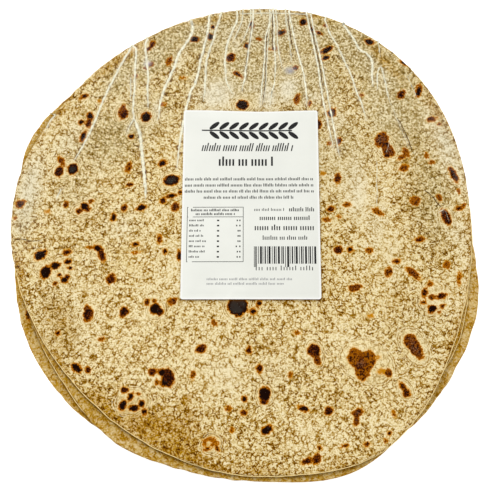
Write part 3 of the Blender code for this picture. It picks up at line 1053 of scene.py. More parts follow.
    def stain(self, sheet: Sheet, maps: CrustMaps) -> tuple:
        """Draw the cracks, specks and grit that brown the crust.

        Args:
            sheet: The group's nodes.
            maps: The shared values.

        Returns:
            How far the crust is browned, and the masks of the flakes' and the crumbs' cracks.
        """
        near = sheet.pattern(maps.vector, self.near)
        dense = sheet.total((near, 0.38), (maps.wide, 0.62), (maps.toast, 1.10))
        dense = sheet.math("MINIMUM", dense, 1.2)
        coarse = sheet.line(sheet.span(maps.grain, 0.25, 0.85), -0.85, 1.0)
        plain = sheet.line(maps.toasted, -0.20, 1.0)
        rough = sheet.product(sheet.math("SUBTRACT", 1.0, maps.smooth), plain, coarse)
        broken = sheet.pattern(maps.vector, self.broken)
        ragged = sheet.pattern(maps.vector, self.ragged)
        dashes = sheet.pattern(maps.vector, self.dashes)

        flake_rims = sheet.product(sheet.cracks(maps.flakes_at, self.flake_scale, 0.26), broken, rough)
        crumb_rims = sheet.cracks(maps.crumbs_at, self.crumb_scale, 0.42)
        crumb_rims = sheet.product(crumb_rims, ragged, dense, rough)
        islands = sheet.product(sheet.cracks(maps.flakes_at, self.flake_scale, 0.12), broken, rough)
        islands = sheet.product(islands, sheet.line(dashes, 0.75, 0.25))
        islands = sheet.product(islands, sheet.line(dense, 0.30, 0.62))
        grains = sheet.cracks(maps.crumbs_at, self.crumb_scale, 0.24)
        grains = sheet.product(grains, ragged, rough, dashes)
        grains = sheet.product(grains, sheet.line(dense, 0.62, 0.34))
        specks = sheet.pattern(maps.vector, self.specks)
        specks = sheet.product(specks, rough, sheet.line(dense, 0.50, 0.28))
        grit = sheet.product(sheet.span(maps.points, 0.51, 0.57), maps.calm)
        mottles = sheet.product(sheet.pattern(maps.vector, self.mottles), maps.toasted)
        pepper = sheet.pattern(maps.vector, self.pepper)
        pepper = sheet.product(pepper, sheet.span(maps.grain, 0.05, 0.85))
        amount = sheet.total((flake_rims, 0.08), (crumb_rims, 0.08), (islands, 1.30), (grains, 1.00),
                             (specks, 1.10), (grit, 0.28), (mottles, 0.40), (pepper, 0.78))
        amount = sheet.line(amount, self.crispness, -self.calmness)
        amount = sheet.math("MAXIMUM", amount, 0.0)
        amount = sheet.product(amount, sheet.line(maps.pallor, -0.60, 1.0))
        return amount, islands, grains


@dataclass(frozen=True)
class BreadFinish:
    """Griddled flatbread: the crumb with char marks, their toasted rims and pale halos.

    A range that ends in _from is how deep inside a mark, in millimetres, a tone starts and is full.
    """

    crumb: bpy.types.NodeTree
    name: str = "griddled_bread"
    halo: tuple = seen(250, 233, 182)
    glow: tuple = seen(232, 190, 110)
    scorch: tuple = seen(188, 114, 24)
    brown: tuple = seen(142, 76, 6)
    umber: tuple = seen(84, 28, 0)
    black: tuple = seen(24, 5, 0)
    ash: tuple = seen(134, 98, 74)
    soot: tuple = seen(48, 43, 39)
    crease: tuple = seen(168, 128, 62)
    # Colour of the painted shade on the breads
    shade: tuple = seen(86, 50, 14)
    halo_from: tuple = (-2.2, -0.8)
    glow_from: tuple = (-1.1, -0.45)
    scorch_from: tuple = (-0.60, -0.25)
    brown_from: tuple = (-0.30, 0.00)
    burnt_from: tuple = (-0.05, 0.35)
    core_from: tuple = (0.2, 1.1)
    ash_from: tuple = (0.4, 1.6)
    soot_from: tuple = (0.5, 1.7)
    broken: Pattern = Pattern(240.0, 2.0, 0.36, 0.56)

    def build(self) -> bpy.types.Material:
        """Make the material.

        Returns:
            The material.
        """
        material = Material(self.name)
        sheet = material.sheet
        vector = sheet.coordinates()
        heat = sheet.value(HEAT)
        depth, blister = self.edges(sheet, vector, heat)
        colour, height = self.lay_crumb(sheet, vector, depth, blister)
        colour, fold = self.wrinkle(sheet, vector, blister, colour)
        colour, burnt = self.char(sheet, vector, depth, heat, colour)
        # Painted shade from the crevice_shade attribute
        colour = sheet.blend(sheet.value(SHADE), colour, self.shade)
        level = sheet.add("RGBToBW", {0: colour}).outputs[0]
        deeper = sheet.line(sheet.span(level, 0.50, 0.28), 0.11, 1.0)
        rich = sheet.add("HueSaturation", {"Saturation": deeper, "Color": colour})
        material.coat(rich.outputs[0], sheet.line(burnt, -0.2, 0.85), 0.03)
        material.bump(sheet.line(fold, -0.8, height), 0.16, 0.0003)
        return material.data

    def edges(self, sheet: Sheet, vector: object, heat: object) -> tuple:
        """Make the edges of the marks and blisters ragged.

        Args:
            sheet: The material's nodes.
            vector: The coordinates.
            heat: Heat of the nearest mark.

        Returns:
            The depth inside the nearest mark and inside the nearest blister, in millimetres.
        """
        ragged = sheet.swing(vector, 1300.0, 3.0, 0.65)
        wander = sheet.swing(vector, 520.0, 2.0)
        depth = sheet.line(ragged, 2.0, sheet.value(DEPTH))
        depth = sheet.line(wander, 2.0, depth)
        depth = sheet.line(sheet.span(heat, 0.70, 0.30), -0.18, depth)
        return depth, sheet.line(wander, 1.6, sheet.value(BLISTER))

    def lay_crumb(self, sheet: Sheet, vector: object, depth: object, blister: object) -> tuple:
        """Lay the crumb, calmer beside a mark and on a blister.

        Args:
            sheet: The material's nodes.
            vector: The coordinates.
            depth: Depth inside the nearest mark.
            blister: Depth inside the nearest blister.

        Returns:
            The colour and the height.
        """
        halo = sheet.span(depth, *self.halo_from)
        inside = sheet.span(blister, 0.0, 0.6)
        raised = sheet.span(blister, -1.0, 0.4)
        calm = sheet.math("MAXIMUM", sheet.product(halo, raised, 0.5), sheet.product(inside, 0.36))
        crumb = sheet.tree.nodes.new("ShaderNodeGroup")
        crumb.node_tree = self.crumb
        smooth = sheet.math("MAXIMUM", calm, sheet.value(SMOOTH))
        inputs = {"Vector": vector, "Toast": sheet.value(TOAST), "Smooth": smooth,
                  "Grain": sheet.value(GRAIN), "Pale": sheet.value(PALE)}
        for name, value in inputs.items():
            sheet.tree.links.new(value, crumb.inputs[name])
        colour = sheet.blend(sheet.product(calm, 0.55), crumb.outputs["Color"], self.halo)
        return colour, crumb.outputs["Height"]

    def wrinkle(self, sheet: Sheet, vector: object, blister: object, colour: object) -> tuple:
        """Draw the fold round each blister and the wrinkles along it.

        Args:
            sheet: The material's nodes.
            vector: The coordinates.
            blister: Depth inside the nearest blister.
            colour: The colour so far.

        Returns:
            The colour and the fold's mask.
        """
        broken = sheet.pattern(vector, self.broken)
        fold = sheet.product(sheet.span(blister, -0.45, -0.15), sheet.span(blister, 0.15, -0.15))
        fold = sheet.product(fold, broken, 0.7)
        colour = sheet.blend(fold, colour, self.crease)
        around = sheet.product(sheet.span(blister, -1.7, -1.1), sheet.span(blister, 1.0, 0.5), broken)
        wave = sheet.math("SINE", sheet.product(blister, 6.4))
        dark = sheet.product(around, sheet.span(wave, 0.55, 0.98), 0.75)
        colour = sheet.blend(dark, colour, self.crease)
        light = sheet.product(around, sheet.span(wave, -0.35, -0.95), 0.90)
        return sheet.blend(light, colour, self.halo), fold

    def char(self, sheet: Sheet, vector: object, depth: object, heat: object, colour: object) -> tuple:
        """Burn the marks, from their glowing rims to a brown, ashy, sooty or black core.

        Args:
            sheet: The material's nodes.
            vector: The coordinates.
            depth: Depth inside the nearest mark.
            heat: Heat of the nearest mark.
            colour: The colour so far.

        Returns:
            The colour and the mask of what is burnt.
        """
        grain = sheet.value(GRAIN)
        glow = sheet.product(sheet.span(depth, *self.glow_from), sheet.line(grain, -0.6, 0.75))
        colour = sheet.blend(glow, colour, self.glow)
        scorch = sheet.blend(grain, self.scorch, self.brown)
        seared = sheet.line(sheet.span(heat, 0.10, 0.40), 0.35, 0.65)
        seared = sheet.product(sheet.span(depth, *self.scorch_from), seared)
        colour = sheet.blend(seared, colour, scorch)
        browned = sheet.product(sheet.span(depth, *self.brown_from), sheet.span(heat, 0.10, 0.50))
        colour = sheet.blend(browned, colour, self.brown)

        mottle = sheet.swing(vector, 620.0, 3.0, 0.7)
        cloud = sheet.swing(vector, 210.0, 2.0, 0.6)
        fine = sheet.swing(vector, 1500.0, 2.0, 0.6)
        uneven = sheet.total((mottle, 3.2), (cloud, 1.6), (fine, 7.0))
        uneven = sheet.product(uneven, sheet.line(heat, -0.9, 1.5))
        burn = sheet.line(sheet.math("POWER", heat, 3.5), 2.0, uneven)
        burn = sheet.line(sheet.span(depth, *self.core_from), 0.14, burn)
        light = sheet.blend(sheet.span(heat, 0.16, 0.62), scorch, self.brown)
        core = sheet.blend(sheet.span(burn, -0.20, 0.60), light, self.umber)
        core = sheet.blend(sheet.span(burn, 0.62, 1.10), core, self.black)
        burnt = sheet.product(sheet.span(depth, *self.burnt_from), sheet.span(heat, 0.05, 0.40))
        colour = sheet.blend(burnt, colour, core)

        flecks = sheet.total((mottle, 1.0), (cloud, 0.8), (fine, -2.5))
        ash = sheet.product(sheet.span(depth, *self.ash_from), sheet.span(flecks, -0.05, 0.30))
        ashy = sheet.product(sheet.span(heat, 0.30, 0.58), sheet.span(heat, 0.72, 0.62), 0.8)
        colour = sheet.blend(sheet.product(ash, ashy), colour, self.ash)
        grey = sheet.line(mottle, 0.8, cloud)
        sooty = sheet.product(sheet.span(heat, 0.80, 0.88), sheet.span(heat, 0.98, 0.92))
        sooty = sheet.product(sooty, sheet.span(depth, *self.soot_from), sheet.span(grey, -0.35, 0.05))
        return sheet.blend(sooty, colour, self.soot), burnt


@dataclass(frozen=True)
class FilmFinish:
    """Clear packing film with a faint milky haze, and grey patches that are partly painted reflection of
    soft light.
    """

    name: str = "clear_film"
    haze: tuple = seen(196, 200, 186)
    reflected_haze: tuple = seen(166, 168, 184)
    milk: tuple = seen(240, 234, 214)
    clear: tuple = seen(252, 246, 226)
    edge_cover: float = 0.015
    streaks: Pattern = Pattern(75.0, 5.0, 0.32, 0.70, 0.6)

    def build(self) -> bpy.types.Material:
        """Make the material.

        Returns:
            The material.
        """
        material = Material(self.name)
        sheet = material.sheet
        vector = sheet.coordinates()
        streaks = sheet.pattern(sheet.warp(vector, 60.0, 0.01), self.streaks)
        # Grey patches of the film, partly its own haze and partly painted reflection
        haze_and_reflection = sheet.product(sheet.value(HAZE_AND_REFLECTION), sheet.line(streaks, 1.3, 0.35))
        fresnel = sheet.add("Fresnel", {"IOR": 1.06}).outputs[0]
        edge = sheet.math("MINIMUM", fresnel, self.edge_cover)
        milk = sheet.product(sheet.value(MILK), sheet.line(streaks, 0.7, 0.55))
        cover = sheet.math("ADD", sheet.math("ADD", haze_and_reflection, milk), edge)
        # Grey tints of those patches; the strongest take the lilac grey of the painted reflection
        colour = sheet.blend(sheet.span(sheet.value(HAZE_AND_REFLECTION), 0.01, 0.08), self.clear, self.haze)
        colour = sheet.blend(sheet.span(sheet.value(HAZE_AND_REFLECTION), 0.14, 0.34), colour, self.reflected_haze)
        material.coat(sheet.blend(sheet.span(milk, 0.04, 0.20), colour, self.milk), 0.18, 1.0)
        material.bump(sheet.noise(vector, 120.0, 3.0, 0.5), 0.4, 0.0004)
        material.see_through(cover)
        return material.data


@dataclass(frozen=True)
class CreaseFinish:
    """Film gathered into a crease: whiter than the flat film, partly as folded film is and partly painted
    highlight; the same ridges carry painted rim highlights and painted fold shade.
    """

    name: str = "creased_film"
    # White of the creases, partly painted highlight
    bright: tuple = seen(255, 252, 226)
    # Warm cream of the painted rim highlights
    warm: tuple = seen(255, 228, 158)
    # Brown of the painted fold shade
    dark: tuple = seen(84, 50, 10)
    broken: Pattern = Pattern(420.0, 3.0, 0.34, 0.58, 0.6)
    tinted_cover: float = 0.7

    def build(self) -> bpy.types.Material:
        """Make the material.

        Returns:
            The material.
        """
        material = Material(self.name)
        sheet = material.sheet
        broken = sheet.pattern(sheet.coordinates(), self.broken)
        tint = sheet.value(TINT)
        cover = sheet.product(sheet.value(STRENGTH), sheet.line(broken, 0.5, 0.62))
        cover = sheet.line(sheet.product(tint, self.tinted_cover), cover, cover)
        cover = sheet.math("MINIMUM", cover, 1.0)
        colour = sheet.blend(sheet.span(tint, 0.0, 0.5), self.bright, self.warm)
        colour = sheet.blend(sheet.span(tint, 0.5, 1.0), colour, self.dark)
        material.coat(colour, 0.3, 0.10)
        material.see_through(cover)
        return material.data


@dataclass(frozen=True)
class PaperFinish:
    """Coated label paper, with a painted highlight along its cut edge."""

    name: str = "label_paper"
    paper: tuple = seen(240, 241, 232)
    shade: tuple = seen(234, 235, 226)
    # Colour of the painted highlight along the paper's cut edge
    edge_highlight: tuple = seen(254, 254, 251)
    tone: Pattern = Pattern(35.0, 4.0, 0.30, 0.70)

    def build(self) -> bpy.types.Material:
        """Make the material.

        Returns:
            The material.
        """
        material = Material(self.name)
        sheet = material.sheet
        vector = sheet.coordinates()
        colour = sheet.blend(sheet.pattern(vector, self.tone), self.paper, self.shade)
        material.coat(sheet.blend(sheet.value(EDGE_HIGHLIGHT), colour, self.edge_highlight), 0.5)
        material.bump(sheet.noise(vector, 2400.0, 3.0), 0.12, 0.00005)
        return material.data


@dataclass(frozen=True)
class InkFinish:
    """Printed ink, a little uneven."""

    ink: Ink
    worn_by: int = 26
    wear: Pattern = Pattern(1800.0, 3.0, 0.35, 0.75)

    def build(self) -> bpy.types.Material:
        """Make the material.

        Returns:
            The material.
        """
        material = Material(f"ink_{self.ink.name.lower()}")
        sheet = material.sheet
        wear = sheet.pattern(sheet.coordinates(), self.wear)
        level = self.ink.value
        thin = level + self.worn_by
        material.coat(sheet.blend(wear, seen(level, level, level), seen(thin, thin, thin)), 0.45, 0.12)
        return material.data


@dataclass(frozen=True)
class Bread:
    """One flatbread of the stack."""

    index: int
    cells: int
    marks: Spots
    blisters: Spots = NO_SPOTS
    toast: Spots = NO_SPOTS
    grain: Spots = NO_SPOTS
    smooth: Spots = NO_SPOTS
    pale: Spots = NO_SPOTS
    label: "Label | None" = None
    plain: float = 0.0
    clearance: float = 0.00035
    rounding: float = 0.0013
    rim_rings: int = 8
    ragged: float = 0.00030
    crust_relief: float = 0.00010
    level_rim: float = 0.06
    rim_toast: float = 0.36
    rim_start: float = 0.90
    rim_fade: float = 0.04
    # Painted shade on a lower bread beside the rim of the bread above: a dark line and a softer tail
    gap_shade_depth: float = 0.70
    gap_width: float = 0.75
    gap_soft_shade: float = 0.30
    shade_tail_width: float = 1.8
    # Painted shade on the lower part of each rim's side wall, standing in for occlusion
    wall_shade_depth: float = 0.52
    wall_start: float = 0.20
    wall_fade: float = 0.25
    # Where the main light comes from: the painted shade is weaker on sides that face it
    lit_from: tuple[float, float] = (0.75, 0.65)
    side_dark: float = 0.50
    least_dark: float = 0.15

    def turned_away(self, x: Array, y: Array) -> Array:
        """Return how far each direction from the stack's middle turns away from the main light."""
        facing = (self.lit_from[0] * x + self.lit_from[1] * y) / np.hypot(x, y)
        return np.clip(self.side_dark - facing, self.least_dark, 1.0)

    def crevice_shadow(self, x: Array, y: Array) -> Array:
        """Paint the shadow of the next bread's rim on this one: a dark line at the rim and a softer shade
        beyond, less on sides that face the main light.

        Args:
            x: First coordinates.
            y: Second coordinates.

        Returns:
            How much painted shade each point gets.
        """
        if self.index == FORM.count - 1:
            return np.zeros(x.shape)
        x, y = x - FORM.middle[0], y - FORM.middle[1]
        off = (np.hypot(x, y) - FORM.reach(self.index + 1, np.arctan2(y, x))) / MM
        line = self.gap_shade_depth * np.exp(-((np.maximum(off, 0.0) / self.gap_width) ** 2))
        # Softer painted shade fading out beyond the dark line
        haze = self.gap_soft_shade * np.exp(-np.maximum(off, 0.0) / self.shade_tail_width)
        return np.maximum(line, haze) * self.turned_away(x, y)

    def reach(self, angle: Array) -> Array:
        """Find how far the bread reaches, with its ragged rim.

        Args:
            angle: Directions in radians.

        Returns:
            The reach in each direction.
        """
        around = (np.cos(angle), np.sin(angle))
        wobble = Ripple(40 + self.index, 0.12, 1.3, 24).field(*around)
        wobble = wobble + 0.6 * Ripple(50 + self.index, 0.04, 0.12).field(*around)
        return FORM.reach(self.index, angle) - self.clearance - self.ragged * np.clip(wobble + 1, 0, 2)

    def shape(self, angle: Array, share: Array, ring: Array) -> tuple:
        """Bend a round sheet into the bread.

        Args:
            angle: Each vertex's direction in radians.
            share: Its share of the way to the rim.
            ring: Its ring, 0 on the face.

        Returns:
            The vertices' x, y and z.
        """
        base = self.index * FORM.bread_thickness + self.clearance
        thickness = FORM.bread_thickness - self.clearance
        swing = np.pi * (0.5 - ring / self.rim_rings)
        radius = share * (self.reach(angle) - self.rounding * (1 - np.cos(swing)))
        x = radius * np.cos(angle) + FORM.middle[0]
        y = radius * np.sin(angle) + FORM.middle[1]
        lift = (FORM.top(x, y) - FORM.height) * (self.index + 1) / FORM.count
        relief = self.blisters.domes(x, y)
        relief = relief + self.crust_relief * Ripple(11 + self.index, 0.005, 0.022).field(x, y)
        relief = relief * np.clip((1 - share) / self.level_rim, 0.0, 1.0) * (ring == 0)
        edge = 0.5 * thickness * (1 + np.sin(swing))
        z = base + edge - self.clearance * 0.5 + lift * np.clip(edge / thickness, 0, 1) + relief
        return x, y, np.maximum(z, base)

    def build(self, finish: bpy.types.Material) -> bpy.types.Object:
        """Make the bread.

        Args:
            finish: The bread's material.

        Returns:
            The bread's object.
        """
        sheet = RoundSheet(self.cells, self.rim_rings)
        mesh = sheet.mesh(BREAD_NAMES[self.index])
        angle, share, ring = sheet.lay(mesh)
        x, y, z = self.shape(angle, share, ring)
        set_points(mesh, x, y, z)

        depth, nearest = self.marks.depth(x, y)
        heats = np.array([row[-1].value for row in self.marks.rows] or [0.0])
        rim = np.clip((share - self.rim_start) / self.rim_fade, 0.0, 1.0) * self.rim_toast
        # Painted shade on the side walls of the lower breads, weaker on sides facing the main light
        wall_shade = np.clip((ring / self.rim_rings - self.wall_start) / self.wall_fade, 0.0, 1.0)
        wall_shade = self.wall_shade_depth * wall_shade * (self.index > 0) * self.turned_away(np.cos(angle), np.sin(angle))
        # All painted shade of this bread: under the next rim, on its wall and beside the label
        shade = np.maximum(self.crevice_shadow(x, y), wall_shade)
        # Painted shadow of the label on the top bread
        if self.label is not None:
            shade = np.maximum(shade, self.label.shade_beside(x, y))
        values = {
            DEPTH: depth,
            HEAT: heats[nearest],
            BLISTER: self.blisters.depth(x, y)[0],
            GRAIN: self.grain.strength(x, y),
            SMOOTH: np.maximum(self.smooth.strength(x, y), self.plain),
            PALE: self.pale.strength(x, y),
            TOAST: np.maximum(self.toast.strength(x, y), rim),
            SHADE: shade,
        }
        for name, value in values.items():
            set_values(mesh, name, value)
        return place_piece(mesh, finish)


def smooth_route(points: list[Vector], step: float) -> list[Vector]:
    """Draw a smooth route through points.

    Args:
        points: The points to pass through.
        step: Largest distance between two places of the route.

    Returns:
        The places along the route.
    """
    ends = [2 * points[0] - points[1], *points, 2 * points[-1] - points[-2]]
    route = []
    for a, b, c, d in zip(ends, ends[1:], ends[2:], ends[3:]):
        count = max(2, math.ceil((c - b).length / step))
        for number in range(count):
            t = number / count
            bend = (2 * a - 5 * b + 4 * c - d) * t**2 + (3 * b - a - 3 * c + d) * t**3
            route.append(0.5 * (2 * b + (c - a) * t + bend))
    route.append(points[-1])
    return route


@dataclass(frozen=True)
class Film:
    """The clear film drawn tight round the stack, and its creases."""

    cells: int = 220
    skin_gap: float = 0.00005
    crown: float = 0.0013
    groove: float = 0.0008
    rim_rings: int = 5
    steepest: float = math.radians(80)
    crease_sides: int = 8
    crease_height: float = 0.00025
    crease_step: float = 0.0012
    crease_spread: float = 1.15
    crease_kink: float = 0.00014
    edge_slope: float = math.radians(62)
    edge_wander: float = 0.00012
    rim_highlight_tint: float = 0.50
    haze_reach: float = 0.0011
    milk_by_crease: float = 0.24
    faint: float = 0.4
    bulge: float = 0.47
    level_rim: float = 0.06
    lowest: float = 0.0001
    pleat_start: float = 0.112
    waver: float = 0.25
    waver_step: float = 1.7
    waver_shift: float = 9000.0
    start_width: float = 0.4
    start_growth: float = 5.0
    end_width: float = 0.2
    end_growth: float = 6.0
    belly: float = 0.3
    # Grey patches of the film, partly painted reflection
    haze_and_reflection: Spots = Spots(HAZE_AND_REFLECTION_PATCHES, FORM.height)

    def side(self, angle: Array) -> list[tuple[Array, Array, float, bool]]:
        """Follow the film down the side of the stack.

        Args:
            angle: Directions from the stack's middle.

        Returns:
            For each ring, its reach and height, the slope of the film there and whether it is a groove.
        """
        rings = []
        for bread in reversed(range(FORM.count)):
            own = FORM.reach(bread, angle) - self.skin_gap
            for number in range(self.rim_rings):
                swing = self.steepest * (1 - 2 * number / (self.rim_rings - 1))
                height = (bread + 0.5 + self.bulge * math.sin(swing)) * FORM.bread_thickness
                reach = own - self.crown * (1 - math.cos(swing))
                rings.append((reach, np.full(reach.shape, height), swing, False))
            if bread:
                reach = np.minimum(own, FORM.reach(bread - 1, angle)) - self.groove
                rings.append((reach, np.full(reach.shape, bread * FORM.bread_thickness), 0.0, True))
        return rings

    def surface(self, x: Array, y: Array) -> Array:
        """Return the film's height over points of the top face."""
        return FORM.top(x, y) - self.skin_gap + TOP_BLISTERS.domes(x, y)

    def routes(self, rows: tuple) -> list[tuple[float, float, list[Vector]]]:
        """Lead creases along the top of the film.

        Args:
            rows: Creases as width, strength and photo points.

        Returns:
            Each crease's width, strength and route.
        """
        routes = []
        kink = Ripple(70, 0.0025, 0.012)
        for width, strength, points in rows:
            places = [Vector((*VIEW.place(*point, FORM.height), 0.0)) for point in points]
            route = smooth_route(places, self.crease_step)
            for place in route:
                place.x += self.crease_kink * float(kink.field(place.x, place.y))
            routes.append((self.crease_spread * width * MM, strength, route))
        return routes

    def crease_haze(self, x: Array, y: Array) -> Array:
        """Spread a soft haze beside the creases.

        Args:
            x: First coordinates of points of the top face.
            y: Second coordinates.

        Returns:
            The haze at each point.
        """
        total = np.zeros(x.shape)
        for _, strength, route in self.routes(tuple(row for row in CREASES if row[1] > self.faint)):
            for a, b in zip(route[::3], route[3::3]):
                run = b - a
                t = np.clip(((x - a.x) * run.x + (y - a.y) * run.y) / run.length_squared, 0.0, 1.0)
                off = np.hypot(x - a.x - t * run.x, y - a.y - t * run.y)
                total = np.maximum(total, strength * np.exp(-((off / self.haze_reach) ** 2)))
        return total

    def build_skin(self, finish: bpy.types.Material) -> bpy.types.Object:
        """Make the closed skin of film.

        Args:
            finish: The film's material.

        Returns:
            The film's object.
        """
        steps = FORM.count * self.rim_rings + FORM.count - 1
        sheet = RoundSheet(self.cells, steps)
        mesh = sheet.mesh("film")
        angle, share, ring = sheet.lay(mesh)
        reach = FORM.reach(FORM.count - 1, angle) - self.crown
        height = np.full(angle.shape, FORM.height)
        for step, (ring_reach, ring_height, _, _) in enumerate(self.side(angle), start=1):
            reach = np.where(ring == step, ring_reach, reach)
            height = np.where(ring == step, ring_height, height)
        x = share * reach * np.cos(angle) + FORM.middle[0]
        y = share * reach * np.sin(angle) + FORM.middle[1]
        domes = TOP_BLISTERS.domes(x, y) * np.clip((1 - share) / self.level_rim, 0.0, 1.0)
        lift = (FORM.top(x, y) - FORM.height) * height / FORM.height
        height = np.maximum(height + lift - self.skin_gap + domes * (ring == 0), self.lowest)
        set_points(mesh, x, y, height)
        milk = self.milk_by_crease * self.crease_haze(x, y)
        set_values(mesh, HAZE_AND_REFLECTION, self.haze_and_reflection.strength(x, y) * (ring == 0))
        set_values(mesh, MILK, milk * (ring == 0))
        return place_piece(mesh, finish)

    def build_creases(self, finish: bpy.types.Material) -> bpy.types.Object:
        """Make the creases, the painted rim highlights and the painted fold shade as low tapered ridges on
        the film.

        Args:
            finish: The creases' material.

        Returns:
            The creases' object.
        """
        ridges = bmesh.new()
        strength_layer = ridges.verts.layers.float.new(STRENGTH)
        dark_layer = ridges.verts.layers.float.new(TINT)
        drawn = []
        for width, strength, route in self.routes(CREASES):
            rails = self.lay_on_top(route)
            if np.hypot(route[0].x, route[0].y) > self.pleat_start:
                rails = self.over_rim(route[0]) + rails
            drawn.append((width, strength, rails, 0.0))
        # Painted shade in the folds between close creases
        for width, strength, route in self.routes(FOLD_SHADES):
            drawn.append((width, strength, self.lay_on_top(route), 1.0))
        # Painted highlights of the film along the rims
        for bread, start, end, width, strength in RIM_HIGHLIGHTS:
            drawn.append((width * MM, strength, self.along_rim(bread, start, end), self.rim_highlight_tint))
        for width, strength, rails, dark in drawn:
            for ring in self.add_ridge(ridges, rails, width):
                for vertex in ring:
                    vertex[strength_layer] = strength
                    vertex[dark_layer] = dark
        bmesh.ops.recalc_face_normals(ridges, faces=ridges.faces)
        mesh = to_mesh(ridges, "film_creases")
        mesh.shade_smooth()
        return place_piece(mesh, finish)

    def lay_on_top(self, route: list[Vector]) -> list[tuple[Vector, Vector]]:
        """Lift a flat route onto the film's top face and return its places and normals."""
        heights = self.surface(np.array([p.x for p in route]), np.array([p.y for p in route]))
        return [(Vector((p.x, p.y, z)), Vector((0, 0, 1))) for p, z in zip(route, heights)]

    def along_rim(self, bread: int, start: float, end: float) -> list[tuple[Vector, Vector]]:
        """Follow the film along the shoulder of one bread's rim.

        Args:
            bread: Index of the bread.
            start: First direction in degrees.
            end: Last direction in degrees.

        Returns:
            Places and normals along the rim.
        """
        count = math.ceil(math.radians(end - start) * FORM.mean_reach / self.crease_step)
        turns = np.radians(np.linspace(end, start, count))
        slope = self.edge_slope
        reach = FORM.reach(bread, turns) - self.skin_gap - self.crown * (1 - math.cos(slope))
        reach = reach - self.edge_wander * (1 + Ripple(60, 0.05, 0.2).field(np.cos(turns), np.sin(turns)))
        height = (bread + 0.5 + self.bulge * math.sin(slope)) * FORM.bread_thickness
        rails = []
        for turn, far in zip(turns, reach):
            out = Vector((math.cos(turn), math.sin(turn), 0.0))
            place = Vector((*FORM.middle, height)) + out * float(far)
            rails.append((place, out * math.cos(slope) + Vector((0, 0, math.sin(slope)))))
        return rails

    def over_rim(self, start: Vector) -> list[tuple[Vector, Vector]]:
        """Follow the film up the far side to where a crease starts.

        Args:
            start: The crease's first place on the top face.

        Returns:
            Places and normals, from the base up.
        """
        middle = Vector((*FORM.middle, 0.0))
        turn = math.atan2(start.y - middle.y, start.x - middle.x)
        out = Vector((math.cos(turn), math.sin(turn), 0.0))
        rails = []
        for reach, height, slope, groove in reversed(self.side(np.array([turn]))):
            if not groove:
                place = middle + out * float(reach[0]) + Vector((0, 0, float(height[0])))
                rails.append((place, out * math.cos(slope) + Vector((0, 0, math.sin(slope)))))
        return rails

    def add_ridge(self, ridges: bmesh.types.BMesh, rails: list, width: float) -> list[list]:
        """Sweep one lens-shaped ridge along a route.

        Args:
            ridges: The mesh to add to.
            rails: Places along the ridge with the film's normal there.
            width: Full width at the middle.

        Returns:
            The vertices of each cross-section.
        """
        sides = self.crease_sides
        loop = bmesh.ops.create_circle(ridges, cap_ends=True, segments=sides, radius=0.5)["verts"]
        face = loop[0].link_faces[0]
        last = len(rails) - 1
        rings = []
        for number, (place, normal) in enumerate(rails):
            if number:
                grown = bmesh.ops.extrude_face_region(ridges, geom=[face])["geom"]
                face = next(item for item in grown if isinstance(item, bmesh.types.BMFace))
            loop = list(face.verts)
            ahead = rails[min(number + 1, last)][0] - rails[max(number - 1, 0)][0]
            side = ahead.cross(normal).normalized()
            share = number / last
            taper = min(1.0, self.start_width + self.start_growth * share)
            taper *= min(1.0, self.end_width + self.end_growth * (1 - share))
            waver = 1.0 + self.waver * math.sin(number * self.waver_step + width * self.waver_shift)
            for corner, vertex in enumerate(loop):
                turn = 2 * math.pi * corner / sides
                across = 0.5 * width * taper * waver * math.cos(turn)
                rise = 0.5 * self.crease_height * taper * (self.belly + math.sin(turn))
                vertex.co = place + side * across + normal * rise
            rings.append(loop)
        return rings


@dataclass(frozen=True)
class TextLine:
    """A line of stand-in print: short upright strokes in words of uneven length."""

    left: float
    right: float
    middle: float
    height: float
    stroke: float
    pitch: float
    slant: float = 0.0
    ink: Ink = Ink.BLACK


TEXT_LINES = (
    TextLine(9.8, 57.6, 21.0, 3.2, 0.62, 1.25, 0.22),
    TextLine(18.5, 48.0, 28.8, 3.6, 0.95, 1.75),
    TextLine(1.2, 67.6, 37.9, 1.15, 0.42, 0.78),
    TextLine(1.2, 67.0, 41.2, 1.15, 0.42, 0.78),
    TextLine(1.2, 67.4, 44.4, 1.15, 0.42, 0.78),
    TextLine(11.0, 57.0, 47.7, 1.15, 0.42, 0.78),
    TextLine(4.6, 29.6, 54.4, 0.95, 0.45, 0.74),
    TextLine(7.0, 27.0, 56.4, 0.95, 0.45, 0.74),
    TextLine(36.8, 52.5, 54.2, 1.1, 0.34, 0.80),
    TextLine(54.5, 68.0, 54.2, 1.6, 0.48, 0.95),
    TextLine(39.5, 66.5, 58.7, 1.7, 0.52, 1.05),
    TextLine(37.0, 67.5, 63.8, 2.1, 0.60, 1.25),
    TextLine(41.0, 64.0, 69.0, 1.6, 0.46, 0.98),
    TextLine(37.5, 67.5, 84.6, 1.7, 0.42, 1.45),
    TextLine(13.0, 56.0, 90.0, 0.9, 0.40, 0.72, 0.0, Ink.GREY),
    TextLine(13.0, 52.0, 92.3, 0.9, 0.40, 0.72, 0.0, Ink.GREY),
)


